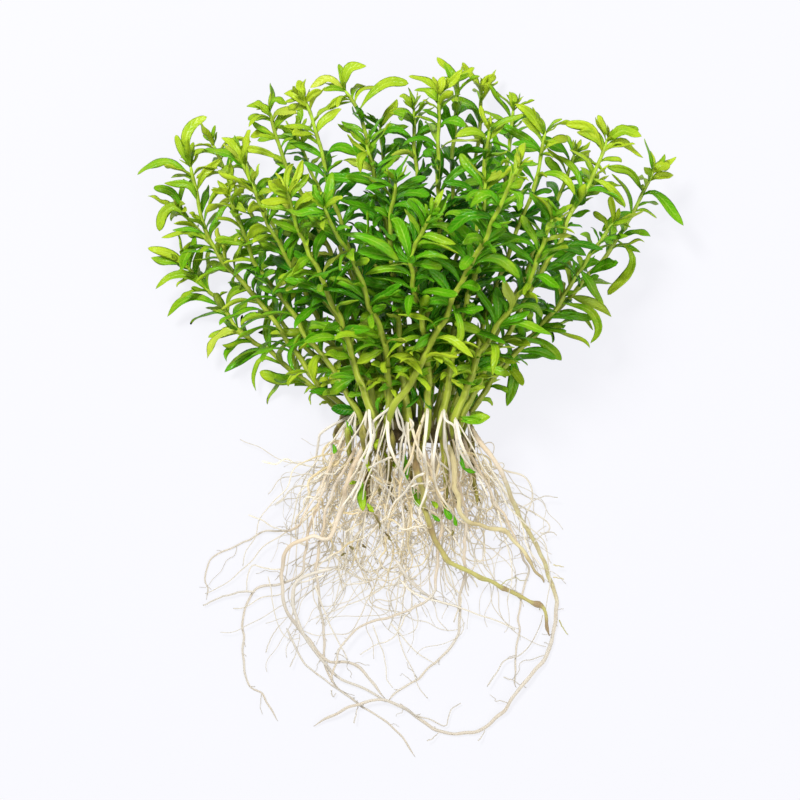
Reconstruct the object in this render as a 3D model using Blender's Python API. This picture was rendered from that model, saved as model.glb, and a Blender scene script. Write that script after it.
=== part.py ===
"""A bare-root bunch of an aquarium stem plant, lying on its side.

Leafy shoots fan out of one crown, and the roots below it lie in a loose tangle. Metres, +Z up. +Y runs
from the roots to the shoot tips. The origin is below the middle of the bunch, on the surface it lies on.
"""

import math
import random

import bmesh
import bpy
import numpy as np
from mathutils import Vector
from mathutils.bvhtree import BVHTree

# Driving dimensions of the plant, in metres
HEAD_WIDTH = 0.136
STEM_FOOT_RADIUS = 0.00125
STEM_TIP_RADIUS = 0.00065
LEAF_LENGTH = 0.0125
LEAF_WIDTH = 0.0031
LEAF_THICKNESS = 0.0005
CROWN_HALF_SIZE = (0.0172, 0.0052, 0.0132)
CROWN_HEIGHT = 0.0146
CROWN_KNOBS = 0.065
GAP = 0.0004
FOLD_COSINE = -0.995

# Routes are read from straight above: pixels, x to the right and y towards the root tips
HEAD_WIDTH_PIXELS = 544
PIXEL = HEAD_WIDTH / HEAD_WIDTH_PIXELS
VIEW_CENTRE = (400, 400)
VIEW_HEIGHT = 0.62
ROUTE_HEIGHT = 0.02
MIDDLE = (0.0031, -0.0044)
MM = 0.001

# Each shoot: the heights of its foot and tip in millimetres, then its route from foot to tip in pixels
SHOOTS = (
    (4.0, 7.0, ((345, 412), (326, 400), (295, 375), (240, 325), (198, 280), (183, 262))),
    (4.5, 9.0, ((360, 411), (335, 378), (270, 310), (215, 250), (178, 206))),
    (4.0, 10.0, ((377, 410), (350, 365), (290, 270), (240, 195), (212, 142))),
    (4.0, 10.0, ((394, 410), (375, 345), (335, 240), (312, 170), (296, 132))),
    (4.0, 9.0, ((411, 410), (407, 340), (397, 240), (386, 170), (380, 124))),
    (4.0, 9.0, ((428, 410), (438, 340), (462, 240), (475, 160), (482, 88))),
    (4.0, 10.0, ((445, 410), (475, 350), (530, 270), (570, 215), (596, 182))),
    (4.5, 13.0, ((462, 412), (490, 375), (530, 340), (565, 298), (608, 253), (637, 208), (655, 168))),
    (11.0, 23.0, ((350, 411), (320, 385), (290, 345), (258, 300), (228, 268), (205, 225), (190, 163))),
    (11.0, 27.0, ((366, 410), (345, 368), (305, 290), (270, 225), (250, 180), (240, 158))),
    (10.5, 25.0, ((381, 410), (365, 350), (333, 260), (305, 200), (286, 160), (268, 108))),
    (11.0, 24.0, ((397, 410), (390, 340), (380, 230), (372, 160), (358, 110), (343, 87))),
    (10.5, 25.0, ((413, 410), (415, 340), (418, 240), (416, 160), (414, 106))),
    (10.5, 23.0, ((430, 410), (438, 330), (450, 220), (455, 140), (457, 82))),
    (11.0, 25.0, ((447, 410), (466, 340), (492, 240), (507, 165), (514, 106))),
    (10.5, 25.0, ((461, 410), (488, 350), (528, 270), (556, 205), (575, 152))),
    (12.0, 22.0, ((470, 413), (503, 370), (555, 305), (592, 255), (614, 222))),
    (17.0, 38.0, ((357, 410), (332, 370), (290, 310), (252, 255), (228, 192))),
    (17.0, 42.0, ((375, 409), (368, 375), (342, 327), (305, 278), (270, 228), (252, 182))),
    (17.0, 39.0, ((390, 409), (377, 350), (352, 260), (330, 190), (314, 125), (304, 97))),
    (17.0, 45.0, ((405, 409), (399, 340), (388, 250), (376, 180), (366, 142))),
    (17.0, 37.0, ((421, 409), (427, 330), (436, 240), (439, 160), (440, 90))),
    (17.0, 43.0, ((437, 409), (452, 340), (470, 250), (482, 180), (490, 128))),
    (17.0, 39.0, ((453, 409), (478, 340), (512, 250), (534, 180), (546, 130))),
    (17.5, 35.0, ((465, 411), (500, 345), (545, 265), (575, 210), (592, 180), (608, 137))),
    (22.0, 60.0, ((388, 413), (389, 380), (385, 340), (368, 300), (348, 255), (330, 222), (324, 206))),
    (27.0, 66.0, ((396, 402), (415, 375), (440, 330), (455, 298), (470, 262), (492, 222), (520, 165))),
    (22.0, 58.0, ((428, 411), (426, 360), (419, 300), (411, 258), (422, 230), (431, 214))),
    (23.0, 53.0, ((371, 411), (350, 350), (322, 280), (298, 225), (286, 190))),
    (23.0, 50.0, ((457, 411), (486, 345), (522, 290), (543, 245), (553, 216))),
    (22.5, 50.0, ((443, 411), (458, 340), (474, 270), (484, 215), (486, 180))),
    (21.5, 48.0, ((408, 412), (402, 370), (398, 330), (394, 290), (391, 230), (396, 180))),
)

# Leaves whose place and turn are plain to see, each with its shoot, its width in pixels and how far its
# tip stands above its foot in millimetres, then its route from foot to tip
READ_LEAVES = (
    (26, 13, -2, ((325, 212), (310, 211), (296, 214), (285, 210))),
    (26, 9, 3, ((322, 207), (315, 195), (313, 185))),
    (26, 12, -2, ((340, 230), (365, 236), (385, 247), (400, 262))),
    (26, 13, -1, ((369, 303), (385, 298), (400, 296), (427, 309))),
    (26, 10, -3, ((367, 300), (350, 285), (330, 278))),
    (26, 13, -2, ((388, 350), (380, 352), (358, 362))),
    (27, 12, -3, ((493, 220), (485, 216), (465, 218), (440, 238))),
    (27, 13, 2, ((500, 205), (490, 195), (480, 199), (470, 208))),
    (27, 10, 3, ((512, 190), (520, 196), (518, 211))),
    (27, 13, -3, ((470, 262), (455, 246), (440, 242), (420, 247))),
    (27, 13, -3, ((470, 262), (490, 257), (506, 262), (518, 278))),
    (27, 9, -4, ((455, 302), (461, 320), (461, 338), (450, 355))),
    (28, 14, 2, ((410, 262), (406, 242), (398, 222), (391, 220))),
    (28, 15, 0, ((408, 262), (385, 255), (358, 252))),
    (28, 12, -1, ((413, 264), (430, 264), (441, 269))),
    (8, 14, 1, ((653, 172), (660, 166), (670, 165))),
    (8, 12, 2, ((642, 200), (652, 194), (668, 205), (682, 226))),
    (8, 10, 3, ((642, 192), (630, 172), (606, 166))),
    (8, 12, -1, ((635, 210), (620, 216), (603, 231))),
    (8, 13, -2, ((618, 243), (630, 252), (632, 268), (609, 295))),
    (8, 9, 2, ((618, 240), (635, 232), (650, 237))),
    (8, 11, -2, ((600, 260), (588, 262), (575, 272))),
    (8, 14, -2, ((571, 298), (585, 303), (600, 308), (610, 317))),
    (8, 14, -2, ((512, 358), (514, 380), (507, 405))),
    (8, 12, -2, ((536, 335), (547, 345), (562, 361))),
    (25, 12, 3, ((603, 150), (590, 128), (564, 123))),
    (25, 13, 2, ((606, 143), (622, 131), (641, 137))),
    (25, 9, -1, ((603, 152), (620, 141), (643, 158))),
    (25, 9, -2, ((596, 180), (610, 187), (626, 207))),
    (25, 8, 3, ((607, 138), (603, 126), (598, 115))),
    (1, 11, 1, ((190, 270), (172, 255), (148, 248))),
    (1, 10, 0, ((208, 294), (190, 277), (172, 276), (157, 289))),
    (1, 11, -1, ((222, 306), (196, 298), (178, 304), (166, 317))),
    (1, 12, -1, ((255, 340), (232, 330), (215, 340), (208, 358))),
    (1, 14, 0, ((300, 385), (278, 380), (260, 373))),
    (1, 6, -1, ((285, 366), (262, 358), (253, 376), (256, 391))),
    (2, 12, 1, ((195, 226), (175, 206), (163, 214), (160, 231))),
    (2, 9, -1, ((206, 240), (184, 232), (162, 238))),
    (2, 10, 1, ((183, 212), (172, 192), (154, 189))),
    (9, 12, 2, ((191, 168), (186, 140), (193, 124), (207, 117))),
    (9, 12, -1, ((193, 175), (170, 161), (150, 165), (139, 175))),
    (9, 8, 3, ((190, 166), (182, 152), (176, 135))),
    (9, 9, 1, ((198, 200), (188, 184), (165, 184))),
    (9, 10, 2, ((197, 192), (204, 174), (221, 159))),
    (10, 11, 1, ((243, 164), (232, 144), (222, 138))),
    (10, 9, 3, ((241, 160), (246, 142), (250, 130))),
    (10, 12, -1, ((246, 172), (228, 154), (206, 150))),
    (11, 11, 1, ((271, 116), (262, 106), (253, 103))),
    (11, 9, 2, ((269, 110), (276, 100), (287, 104))),
    (11, 10, -1, ((278, 138), (262, 133), (250, 137))),
    (11, 10, 1, ((275, 128), (284, 116), (294, 112))),
    (12, 12, 2, ((344, 88), (350, 68), (366, 67))),
    (12, 10, 0, ((346, 90), (328, 78), (311, 88))),
    (12, 12, 1, ((358, 112), (370, 96), (388, 82), (408, 84))),
    (12, 9, -1, ((350, 100), (332, 106), (315, 115))),
    (20, 10, 1, ((306, 100), (300, 88), (300, 80))),
    (20, 11, 0, ((308, 106), (294, 94), (283, 93))),
    (20, 9, 2, ((307, 104), (314, 94), (322, 90))),
    (13, 11, 2, ((414, 110), (406, 98), (400, 94))),
    (13, 13, 0, ((414, 116), (404, 113), (394, 112))),
    (14, 11, 2, ((456, 86), (450, 72), (444, 62))),
    (14, 10, 1, ((457, 84), (466, 76), (474, 68))),
    (6, 12, 1, ((481, 92), (488, 80), (496, 78))),
    (22, 10, 2, ((440, 96), (442, 84), (443, 77))),
    (22, 10, 0, ((440, 104), (428, 92), (415, 91))),
    (15, 11, 1, ((514, 110), (513, 98), (511, 93))),
    (24, 11, 1, ((544, 136), (530, 114), (515, 104))),
    (24, 10, -1, ((541, 152), (524, 138), (500, 122))),
    (17, 11, -2, ((580, 270), (594, 290), (602, 305))),
    (17, 10, -3, ((560, 300), (590, 310), (599, 330), (591, 343))),
)

# Main roots: radius at the foot and height of the foot in millimetres, then the route from the crown
ROOTS = {
    "root_left_fork": (0.75, 9, ((350, 430), (330, 475), (314, 520), (305, 555), (297, 575), (272, 585),
        (255, 592), (246, 610), (243, 635), (241, 660), (247, 682), (262, 698), (274, 716), (279, 723))),
    "root_left_far": (0.6, 9, ((347, 424), (332, 460), (318, 495), (302, 522), (280, 531), (258, 536),
        (235, 547), (215, 557), (209, 572), (204, 600))),
    "root_bottom": (0.75, 13, ((362, 438), (338, 482), (322, 530), (316, 570), (321, 605), (325, 632),
        (322, 658), (332, 684), (358, 705), (385, 719), (397, 734), (415, 760))),
    "root_left_loop": (1.1, 15, ((366, 440), (350, 475), (343, 510), (330, 535), (308, 535), (288, 548),
        (283, 580), (288, 612), (308, 642), (330, 661), (350, 664), (372, 682), (384, 699))),
    "root_middle_arc": (0.85, 13, ((446, 442), (458, 485), (465, 530), (466, 570), (460, 600), (456, 632),
        (441, 660), (420, 680), (400, 691), (386, 703))),
    "root_centre_arc": (0.8, 13, ((424, 446), (434, 485), (440, 525), (440, 560), (430, 594), (410, 608),
        (385, 617), (360, 632), (341, 646), (334, 662), (330, 682))),
    "root_inner_right": (0.7, 12, ((462, 436), (478, 470), (498, 510), (518, 540), (528, 566), (521, 600),
        (518, 630), (518, 662), (516, 690))),
    "root_right_loop": (1.1, 15, ((470, 426), (480, 443), (500, 470), (517, 512), (535, 545), (550, 575),
        (558, 605), (552, 640), (538, 666), (518, 692), (500, 718), (478, 732), (440, 732), (415, 715),
        (384, 702), (350, 706), (314, 727))),
    "root_white_1": (0.8, 25, ((384, 420), (388, 436), (398, 462), (412, 495), (423, 525))),
    "root_white_2": (0.8, 25, ((431, 420), (424, 438), (424, 462), (425, 490), (420, 512))),
    "root_white_3": (0.7, 26, ((441, 420), (434, 440), (432, 462), (441, 492), (456, 520))),
    "root_white_4": (0.75, 23, ((455, 424), (463, 445), (468, 462), (478, 480), (486, 496))),
    "root_white_5": (0.75, 25, ((376, 420), (369, 445), (360, 475), (352, 492), (344, 508))),
}

# Old creeping stems among the roots, in the same form
RUNNERS = {
    "runner_lower": (0.85, 16, ((412, 448), (418, 480), (426, 515), (435, 536), (455, 562), (485, 579),
        (517, 598), (543, 604), (548, 618), (549, 636))),
    "runner_upper": (0.75, 17, ((448, 444), (455, 480), (464, 514), (487, 527), (515, 545), (535, 565),
        (545, 583))),
}

# Locks of fine rootlets: the routes of their middle lines, from the crown
ROOT_LOCKS = (
    ((352, 440), (334, 480), (318, 540), (304, 592)),
    ((368, 444), (355, 490), (341, 550), (332, 622)),
    ((384, 447), (377, 495), (366, 560), (359, 640)),
    ((400, 448), (398, 500), (392, 565), (386, 660)),
    ((416, 448), (419, 500), (418, 560), (413, 642)),
    ((432, 446), (440, 495), (445, 550), (444, 618)),
    ((448, 443), (461, 485), (473, 535), (478, 594)),
    ((463, 438), (482, 475), (500, 520), (508, 572)),
)
ROOT_RING_STEP = 0.0075
LOCK_HALF_WIDTH = 0.0023
LOCK_FOOT_HALF_HEIGHT = 0.0050

LEAF_GREEN = (0.12, 0.36, 0.03)
STEM_GREEN = (0.30, 0.42, 0.08)
CROWN_OLIVE = (0.24, 0.22, 0.08)
ROOT_CREAM = (0.83, 0.78, 0.66)
RUNNER_OLIVE = (0.38, 0.36, 0.14)
LOCK_CREAM = (0.80, 0.74, 0.60)


def clear_scene():
    for obj in list(bpy.data.objects):
        bpy.data.objects.remove(obj, do_unlink=True)


def make_material(name, color, roughness):
    material = bpy.data.materials.new(name)
    material.use_nodes = True
    shader = material.node_tree.nodes["Principled BSDF"]
    shader.inputs["Base Color"].default_value = (*color, 1.0)
    shader.inputs["Roughness"].default_value = roughness
    shader.inputs["Metallic"].default_value = 0.0
    return material


def place(x, y, height):
    """The point that is seen at a pixel from straight above, at a height over the surface."""
    reach = PIXEL * (VIEW_HEIGHT - height) / (VIEW_HEIGHT - ROUTE_HEIGHT)
    across = (x - VIEW_CENTRE[0]) * reach - MIDDLE[0]
    along = (VIEW_CENTRE[1] - y) * reach - MIDDLE[1]
    return np.array([across, along, height])


def unit(vector):
    return vector / max(np.linalg.norm(vector), 1e-12)


def even_curve(points, count):
    """Points at even steps on a smooth curve through the given ones (a Catmull-Rom spline)."""
    points = np.asarray(points, float)
    ends = np.vstack([2 * points[0] - points[1], points, 2 * points[-1] - points[-2]])
    t = np.linspace(0, 1, 24, endpoint=False)[:, None]
    runs = []
    for a, b, c, d in zip(ends[:-3], ends[1:-2], ends[2:-1], ends[3:]):
        runs.append(0.5 * (2 * b + (c - a) * t + (2 * a - 5 * b + 4 * c - d) * t**2
                           + (3 * b - a - 3 * c + d) * t**3))
    dense = np.vstack([*runs, points[-1:]])
    travelled = np.concatenate([[0], np.cumsum(np.linalg.norm(np.diff(dense, axis=0), axis=1))])
    steps = np.linspace(0, travelled[-1], count)
    return np.stack([np.interp(steps, travelled, axis) for axis in dense.T], axis=1)


def length_of(points):
    return float(np.linalg.norm(np.diff(points, axis=0), axis=1).sum())


def make_node(name, verts, faces, material):
    """An object from points and faces, closed, with its faces pointing out."""
    mesh = bpy.data.meshes.new(name)
    mesh.from_pydata([tuple(v) for v in verts], [], faces)
    tidy = bmesh.new()
    tidy.from_mesh(mesh)
    bmesh.ops.triangulate(tidy, faces=tidy.faces)
    tidy.to_mesh(mesh)
    tidy.free()
    mesh.materials.append(material)
    mesh.shade_smooth()
    mesh.set_sharp_from_angle(angle=math.radians(50))
    obj = bpy.data.objects.new(name, mesh)
    bpy.context.scene.collection.objects.link(obj)
    return obj


def tree_of(verts, faces):
    return BVHTree.FromPolygons([Vector(v) for v in verts], faces, epsilon=0.0)


def bounds_of(verts):
    return verts.min(axis=0), verts.max(axis=0)


def stem_line(shoot):
    """The stem's middle line, foot to tip: it rises a little faster towards the tip."""
    foot, tip, route = shoot
    flat = even_curve(route, 60)
    share = np.linspace(0, 1, len(flat))
    heights = (foot + (tip - foot) * share**1.15) * MM
    return np.array([place(x, y, z) for (x, y), z in zip(flat, heights)])


def leaf_from_view(line, leaf):
    """A leaf whose route is read from above: its foot is moved onto the stem, and it arches in between."""
    _, width, rise, route = leaf
    start = place(*route[0], line[30, 2])
    for _ in range(3):
        at = int(np.argmin(np.linalg.norm(line[:, :2] - start[:2], axis=1)))
        start = place(*route[0], line[at, 2])
    flat = even_curve(route, 9)
    share = np.linspace(0, 1, len(flat))
    heights = line[at, 2] + rise * MM * share + 1.5 * MM * np.sin(math.pi * share)
    middle = np.array([place(x, y, max(z, LEAF_THICKNESS / 2)) for (x, y), z in zip(flat, heights)])
    middle += (line[at] - middle[0]) * (1 - share[:, None]) ** 2
    return {"at": at, "middle": middle, "width": width * PIXEL, "face": np.array([0.0, 0.0, 1.0])}


def leaf_from_rule(line, at, turn, length, spread):
    """A leaf that leaves its stem at a turn about it and bends outwards: the angle to the stem grows evenly."""
    axis = unit(line[min(at + 1, len(line) - 1)] - line[at - 1])
    side = unit(np.cross(axis, (0, 0, 1)))
    up = np.cross(side, axis)
    out = math.cos(turn) * up + math.sin(turn) * side
    opening = np.linspace(math.radians(32), spread, 9)[:, None]
    steps = (np.cos(opening) * axis + np.sin(opening) * out) * length / 8
    middle = line[at] + np.vstack([np.zeros(3), np.cumsum(steps[1:], axis=0)])
    middle[:, 2] = np.maximum(middle[:, 2], LEAF_THICKNESS / 2)
    face = unit(axis + np.array([0, 0, 0.4]))
    return {"at": at, "middle": middle, "width": LEAF_WIDTH * length / LEAF_LENGTH, "face": face}


def plan_leaves(number, line):
    """The leaves of one shoot: those read from the view, then pairs at even nodes, each pair turned a quarter."""
    leaves = [leaf_from_view(line, leaf) for leaf in READ_LEAVES if leaf[0] == number]
    taken = [leaf["at"] for leaf in leaves]
    rng = random.Random(500 + number)
    quarter = rng.choice((0, 1))
    for k, at in enumerate((26, 35, 44, 52)):
        for half in (0, 1):
            turn = math.pi * half + math.pi / 2 * (k + quarter) + rng.uniform(-0.35, 0.35)
            length = LEAF_LENGTH * rng.uniform(0.85, 1.1) * (1 - 0.12 * k)
            spread = math.radians(rng.uniform(75, 105))
            if all(abs(at - other) > 3 for other in taken):
                leaves.append(leaf_from_rule(line, at, turn, length, spread))
    for quarter_turn in range(4):
        turn = math.pi / 2 * quarter_turn + rng.uniform(-0.3, 0.3)
        length = LEAF_LENGTH * rng.uniform(0.45, 0.6)
        leaves.append(leaf_from_rule(line, 58, turn, length, math.radians(rng.uniform(50, 75))))
    return leaves


def stem_rings(line, nodes):
    """Stations along the stem, as pairs close together at each leaf node, and rings of four points there."""
    stations = [0.0]
    for node in nodes:
        stations += [node - 0.34, node + 0.34]
    gaps = sorted(stations)
    stations += [(a + b) / 2 for a, b in zip(gaps, gaps[1:]) if b - a > 14]
    rings = []
    steps = np.arange(len(line))
    for station in sorted(stations):
        centre = np.array([np.interp(station, steps, axis) for axis in line.T])
        ahead = np.array([np.interp(station + 0.5, steps, axis) for axis in line.T])
        behind = np.array([np.interp(station - 0.5, steps, axis) for axis in line.T])
        axis = unit(ahead - behind)
        side = unit(np.cross(axis, (0, 0, 1)))
        up = np.cross(side, axis)
        share = station / (len(line) - 1)
        radius = 1.12 * (STEM_FOOT_RADIUS + (STEM_TIP_RADIUS - STEM_FOOT_RADIUS) * share)
        corners = [math.pi / 4 + math.pi / 2 * k for k in range(4)]
        rings.append([centre + radius * (math.cos(c) * up + math.sin(c) * side) for c in corners])
    return sorted(stations), np.array(rings)


def volume_of(points, faces):
    """The volume inside closed faces, by fans of tetrahedra from the first point."""
    total = 0.0
    for face in faces:
        for b, c in zip(face[1:], face[2:]):
            corners = points[[face[0], b, c]] - points[0]
            total += float(np.linalg.det(corners)) / 6
    return total


def split(points, a, b, c, d):
    """Two triangles for a quad, along the diagonal that keeps the body convex there."""
    fold = np.linalg.det(points[[b, c, d]] - points[a])
    return [(a, b, c), (a, c, d)] if fold <= 0 else [(a, b, d), (b, c, d)]


# A blade's points: 0 to 3 at its foot, 4 to 7 at its widest place, 8 and 9 at its tip
BLADE_QUADS = ((0, 1, 5, 4), (1, 2, 6, 5), (2, 3, 7, 6), (3, 0, 4, 7), (4, 5, 9, 8), (6, 7, 8, 9))
BLADE_TIP = ((7, 4, 8), (5, 6, 9))
BLADE_FOOT = ((3, 2, 1), (3, 1, 0))


def blade_faces(points):
    """The triangles from the foot to the widest place, and on to the tip."""
    faces = list(BLADE_TIP)
    for quad in BLADE_QUADS:
        faces += split(points, *quad)
    return faces


def crosses_itself(points, faces):
    """Whether faces without a common corner meet, or two neighbours fold flat onto each other."""
    tree = tree_of(points, faces)
    if any(not set(faces[i]) & set(faces[j]) for i, j in tree.overlap(tree)):
        return True
    normals = [unit(np.cross(points[b] - points[a], points[c] - points[a])) for a, b, c in faces]
    for i, face in enumerate(faces):
        for j in range(i):
            if len(set(face) & set(faces[j])) == 2 and float(normals[i] @ normals[j]) < FOLD_COSINE:
                return True
    return False


def leaf_blade(quad, leaf):
    """Four points at the leaf's widest place and two at its tip, in the order that twists them least
    from the corners of the quad that the leaf grows from. The volume is 0 where each order crosses itself."""
    middle = leaf["middle"]
    wide, tip = middle[5], middle[8]
    along = unit(middle[6] - middle[4])
    side = unit(np.cross(leaf["face"], along))
    normal = np.cross(along, side)
    half, thick = side * leaf["width"] / 2, normal * LEAF_THICKNESS / 2
    blade = np.array([wide - half - thick, wide + half - thick, wide + half + thick, wide - half + thick])
    upper = [2, 3] if normal[2] > 0 else [0, 1]
    blade[:, 2] = np.maximum(blade[:, 2], 0.0)
    blade[upper, 2] = np.maximum(blade[upper, 2], LEAF_THICKNESS)
    best, faces, most = None, None, 0.0
    for turn in range(4):
        ring = np.roll(blade, -turn, axis=0)
        narrow = 0.6 if turn % 2 else 0.12
        left = tip + narrow * ((ring[0] + ring[3]) / 2 - wide)
        right = tip + narrow * ((ring[1] + ring[2]) / 2 - wide)
        points = np.vstack([quad, ring, left, right])
        points[4:, 2] = np.maximum(points[4:, 2], 0.0)
        outside = blade_faces(points)
        closed = [*outside, *BLADE_FOOT]
        volume = volume_of(points, closed)
        if volume > most and not crosses_itself(points, closed):
            best, faces, most = points, outside, volume
    return best, faces, most


def near(box, other):
    return bool((box[0] <= other[1] + GAP).all() and (other[0] <= box[1] + GAP).all())


def clear_of(body, solids):
    box, tree = body
    return not any(near(box, other_box) and tree.overlap(other) for other_box, other in solids)


def grown(points, amount):
    """Points moved away from their middle, so that a test for touching keeps a gap."""
    middle = points.mean(axis=0)
    away = points - middle
    return middle + away * (1 + amount / np.maximum(np.linalg.norm(away, axis=1, keepdims=True), 1e-6))


def stem_solid(line, leaves):
    """The stem alone: its points by ring, its side quads by segment and face, and its two ends."""
    nodes = []
    for leaf in sorted(leaves, key=lambda item: item["at"]):
        if not nodes or leaf["at"] - nodes[-1] > 2:
            nodes.append(leaf["at"])
    stations, rings = stem_rings(line, nodes)
    sides = {}
    for j in range(len(stations) - 1):
        for k in range(4):
            a, b = 4 * j + k, 4 * j + (k + 1) % 4
            sides[j, k] = (a, b, b + 4, a + 4)
    last = 4 * (len(stations) - 1)
    ends = [(3, 2, 1, 0), tuple(range(last, last + 4))]
    node_of = {node: stations.index(node - 0.34) for node in nodes}
    return rings.reshape(-1, 3), sides, ends, node_of


def blade_body(points, faces, share):
    """A closed body for a leaf from a share of the way out to its widest place, a little grown."""
    start = points[:4] * (1 - share) + points[4:8] * share
    body = grown(np.vstack([start, points[4:]]), 0.3 * MM)
    return bounds_of(body), tree_of(body, [*faces, *BLADE_FOOT])


def best_side(verts, sides, segment, centre, out):
    """The free side of a stem segment that looks most nearly the way a leaf goes, and how nearly."""
    best, most = None, -1.0
    for k in range(4):
        if (segment, k) in sides:
            corners = np.array([verts[c] for c in sides[segment, k]])
            likeness = float(unit(corners.mean(axis=0) - centre) @ unit(out))
            if likeness > most:
                best, most = k, likeness
    return best, most


def build_shoot(number, line, stem, leaves, own_stem, others, material):
    """The stem with each leaf that stays clear of every other solid, grown out of the stem's side."""
    verts, sides, ends, node_of = stem
    verts = verts.tolist()
    blades = []
    own = []
    for leaf in leaves:
        node = min(node_of, key=lambda station: abs(station - leaf["at"]))
        segment = node_of[node]
        side, likeness = best_side(verts, sides, segment, line[node], leaf["middle"][5] - line[node])
        if likeness < 0.2:
            continue
        quad = sides[segment, side]
        points, faces, volume = leaf_blade(np.array([verts[c] for c in quad]), leaf)
        if volume < 0.3 * LEAF_THICKNESS * leaf["width"] * length_of(leaf["middle"]):
            continue
        foot_body, near_body, far_body = (blade_body(points, faces, share) for share in (0.12, 0.3, 0.6))
        beside = [bodies[2] for there, bodies in own if there == segment]
        apart = [bodies[0] for there, bodies in own if there != segment]
        clear = clear_of(near_body, others) and clear_of(foot_body, apart)
        if not clear or not clear_of(far_body, [own_stem, *beside]):
            continue
        corners = [*quad, *range(len(verts), len(verts) + 6)]
        verts += points[4:].tolist()
        blades += [tuple(corners[c] for c in face) for face in faces]
        del sides[segment, side]
        own.append((segment, (foot_body, near_body, far_body)))
    make_node(f"shoot_{number:02d}", verts, list(sides.values()) + ends + blades, material)
    return [bodies[1] for _, bodies in own]


def build_shoots(material, solids):
    lines = [end_on(stem_line(shoot), solids[0]) for shoot in SHOOTS]
    plans = [plan_leaves(i + 1, line) for i, line in enumerate(lines)]
    stems = [stem_solid(line, leaves) for line, leaves in zip(lines, plans)]
    bodies = [(bounds_of(verts), tree_of(verts, [*sides.values(), *ends])) for verts, sides, ends, _ in stems]
    grown_leaves = []
    for i, line in enumerate(lines):
        others = bodies[:i] + bodies[i + 1:] + grown_leaves + solids
        grown_leaves += build_shoot(i + 1, line, stems[i], plans[i], bodies[i], others, material)


def free_way(tree, points, direction):
    """How far points can move along a direction before the first of them meets a solid."""
    hits = [tree.ray_cast(Vector(point), Vector(direction))[3] for point in points]
    return min((hit for hit in hits if hit is not None), default=None)


def end_on(line, crown):
    """The stem's line with its foot moved along the stem to stand a gap above the crown."""
    back = unit(line[0] - line[4])
    side = unit(np.cross(back, (0, 0, 1)))
    up = np.cross(side, back)
    turns = np.linspace(0, 2 * math.pi, 8, endpoint=False)
    rim = [line[10] + 1.25 * STEM_FOOT_RADIUS * (math.cos(a) * side + math.sin(a) * up) for a in turns]
    way = free_way(crown[1], [*rim, line[10]], back)
    if way is None:
        return line
    foot = line[10] + back * (way - GAP)
    fade = np.clip(1 - np.arange(len(line)) / 10, 0, 1)[:, None]
    return line + (foot - line[0]) * fade


def build_crown(material):
    """A lumpy cushion of old stem feet: a sphere pressed towards a box and raised in knobs."""
    ball = bmesh.new()
    bmesh.ops.create_icosphere(ball, subdivisions=3, radius=1.0)
    middle = place(409, 430, CROWN_HEIGHT)
    for vert in ball.verts:
        u = np.array(vert.co)
        boxed = u / (np.abs(u) ** 4).sum() ** 0.25
        knobs = math.sin(9 * u[0] + 1) * math.sin(8 * u[2]) + 0.6 * math.sin(13 * u[0] + 5 * u[1])
        point = middle + boxed * np.array(CROWN_HALF_SIZE) * (1 + CROWN_KNOBS * knobs)
        vert.co = Vector(point)
    verts = np.array([vert.co for vert in ball.verts])
    verts[:, 2] = np.maximum(verts[:, 2], 0.0)
    faces = [[v.index for v in face.verts] for face in ball.faces]
    ball.free()
    make_node("crown", verts, faces, material)
    return bounds_of(verts), tree_of(verts, faces)


def tube(line, radii, heights, sides):
    """Rings of points across a line, flattened or raised by their own half height, and the faces between."""
    tangents = np.gradient(line, axis=0)
    tangents[:, 2] = 0
    tangents /= np.linalg.norm(tangents, axis=1, keepdims=True)
    across = np.stack([-tangents[:, 1], tangents[:, 0], np.zeros(len(line))], axis=1)
    up = np.array([0.0, 0.0, 1.0])
    angles = [2 * math.pi * k / sides - math.pi / 2 for k in range(sides)]
    rings = [[line[j] + across[j] * radii[j] * math.cos(a) + up * heights[j] * math.sin(a)
              for a in angles] for j in range(len(line))]
    verts = np.array(rings).reshape(-1, 3)
    faces = []
    for j in range(len(line) - 1):
        for k in range(sides):
            a, b = j * sides + k, j * sides + (k + 1) % sides
            faces.append((a, b, b + sides, a + sides))
    last = (len(line) - 1) * sides
    faces += [tuple(range(sides))[::-1], tuple(range(last, last + sides))]
    return verts, faces


def build_lock(number, route, crown, material):
    """A lock of rootlets: high at the crown and flat at its tip, lying on the surface."""
    flat = even_curve([place(x, y, 0.006)[:2] for x, y in route], 7)
    share = np.linspace(0, 1, 7)
    half_height = LOCK_FOOT_HALF_HEIGHT * (1 - share) ** 1.6 + 0.0009
    half_width = LOCK_HALF_WIDTH * (1 - 0.75 * share**3) * (0.75 + 0.25 * np.sin(math.pi * share))
    back = unit(np.append(flat[0] - flat[1], 0.0))
    face = [(flat[2][0] + u * half_width[0], flat[2][1], half_height[0] * (1 + v))
            for u in (-1, -0.5, 0, 0.5, 1) for v in (-1, -0.5, 0, 0.5, 1)]
    reach = np.linalg.norm(flat[2] - flat[0])
    way = free_way(crown[1], face, back)
    flat = flat + (way - GAP - reach) * np.outer(1 - share, back[:2])
    line = np.column_stack([flat, half_height])
    verts, faces = tube(line, half_width, half_height, 5)
    make_node(f"root_lock_{number}", verts, faces, material)
    return bounds_of(verts), tree_of(verts, faces)


def top_under(point, solids, above=0.2):
    """The height of the highest solid below a point in plan."""
    best = 0.0
    start = Vector((point[0], point[1], above))
    for box, tree in solids:
        if (box[0][:2] <= point[:2]).all() and (point[:2] <= box[1][:2]).all():
            hit = tree.ray_cast(start, Vector((0, 0, -1)))[0]
            if hit is not None:
                best = max(best, hit.z)
    return best


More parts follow.
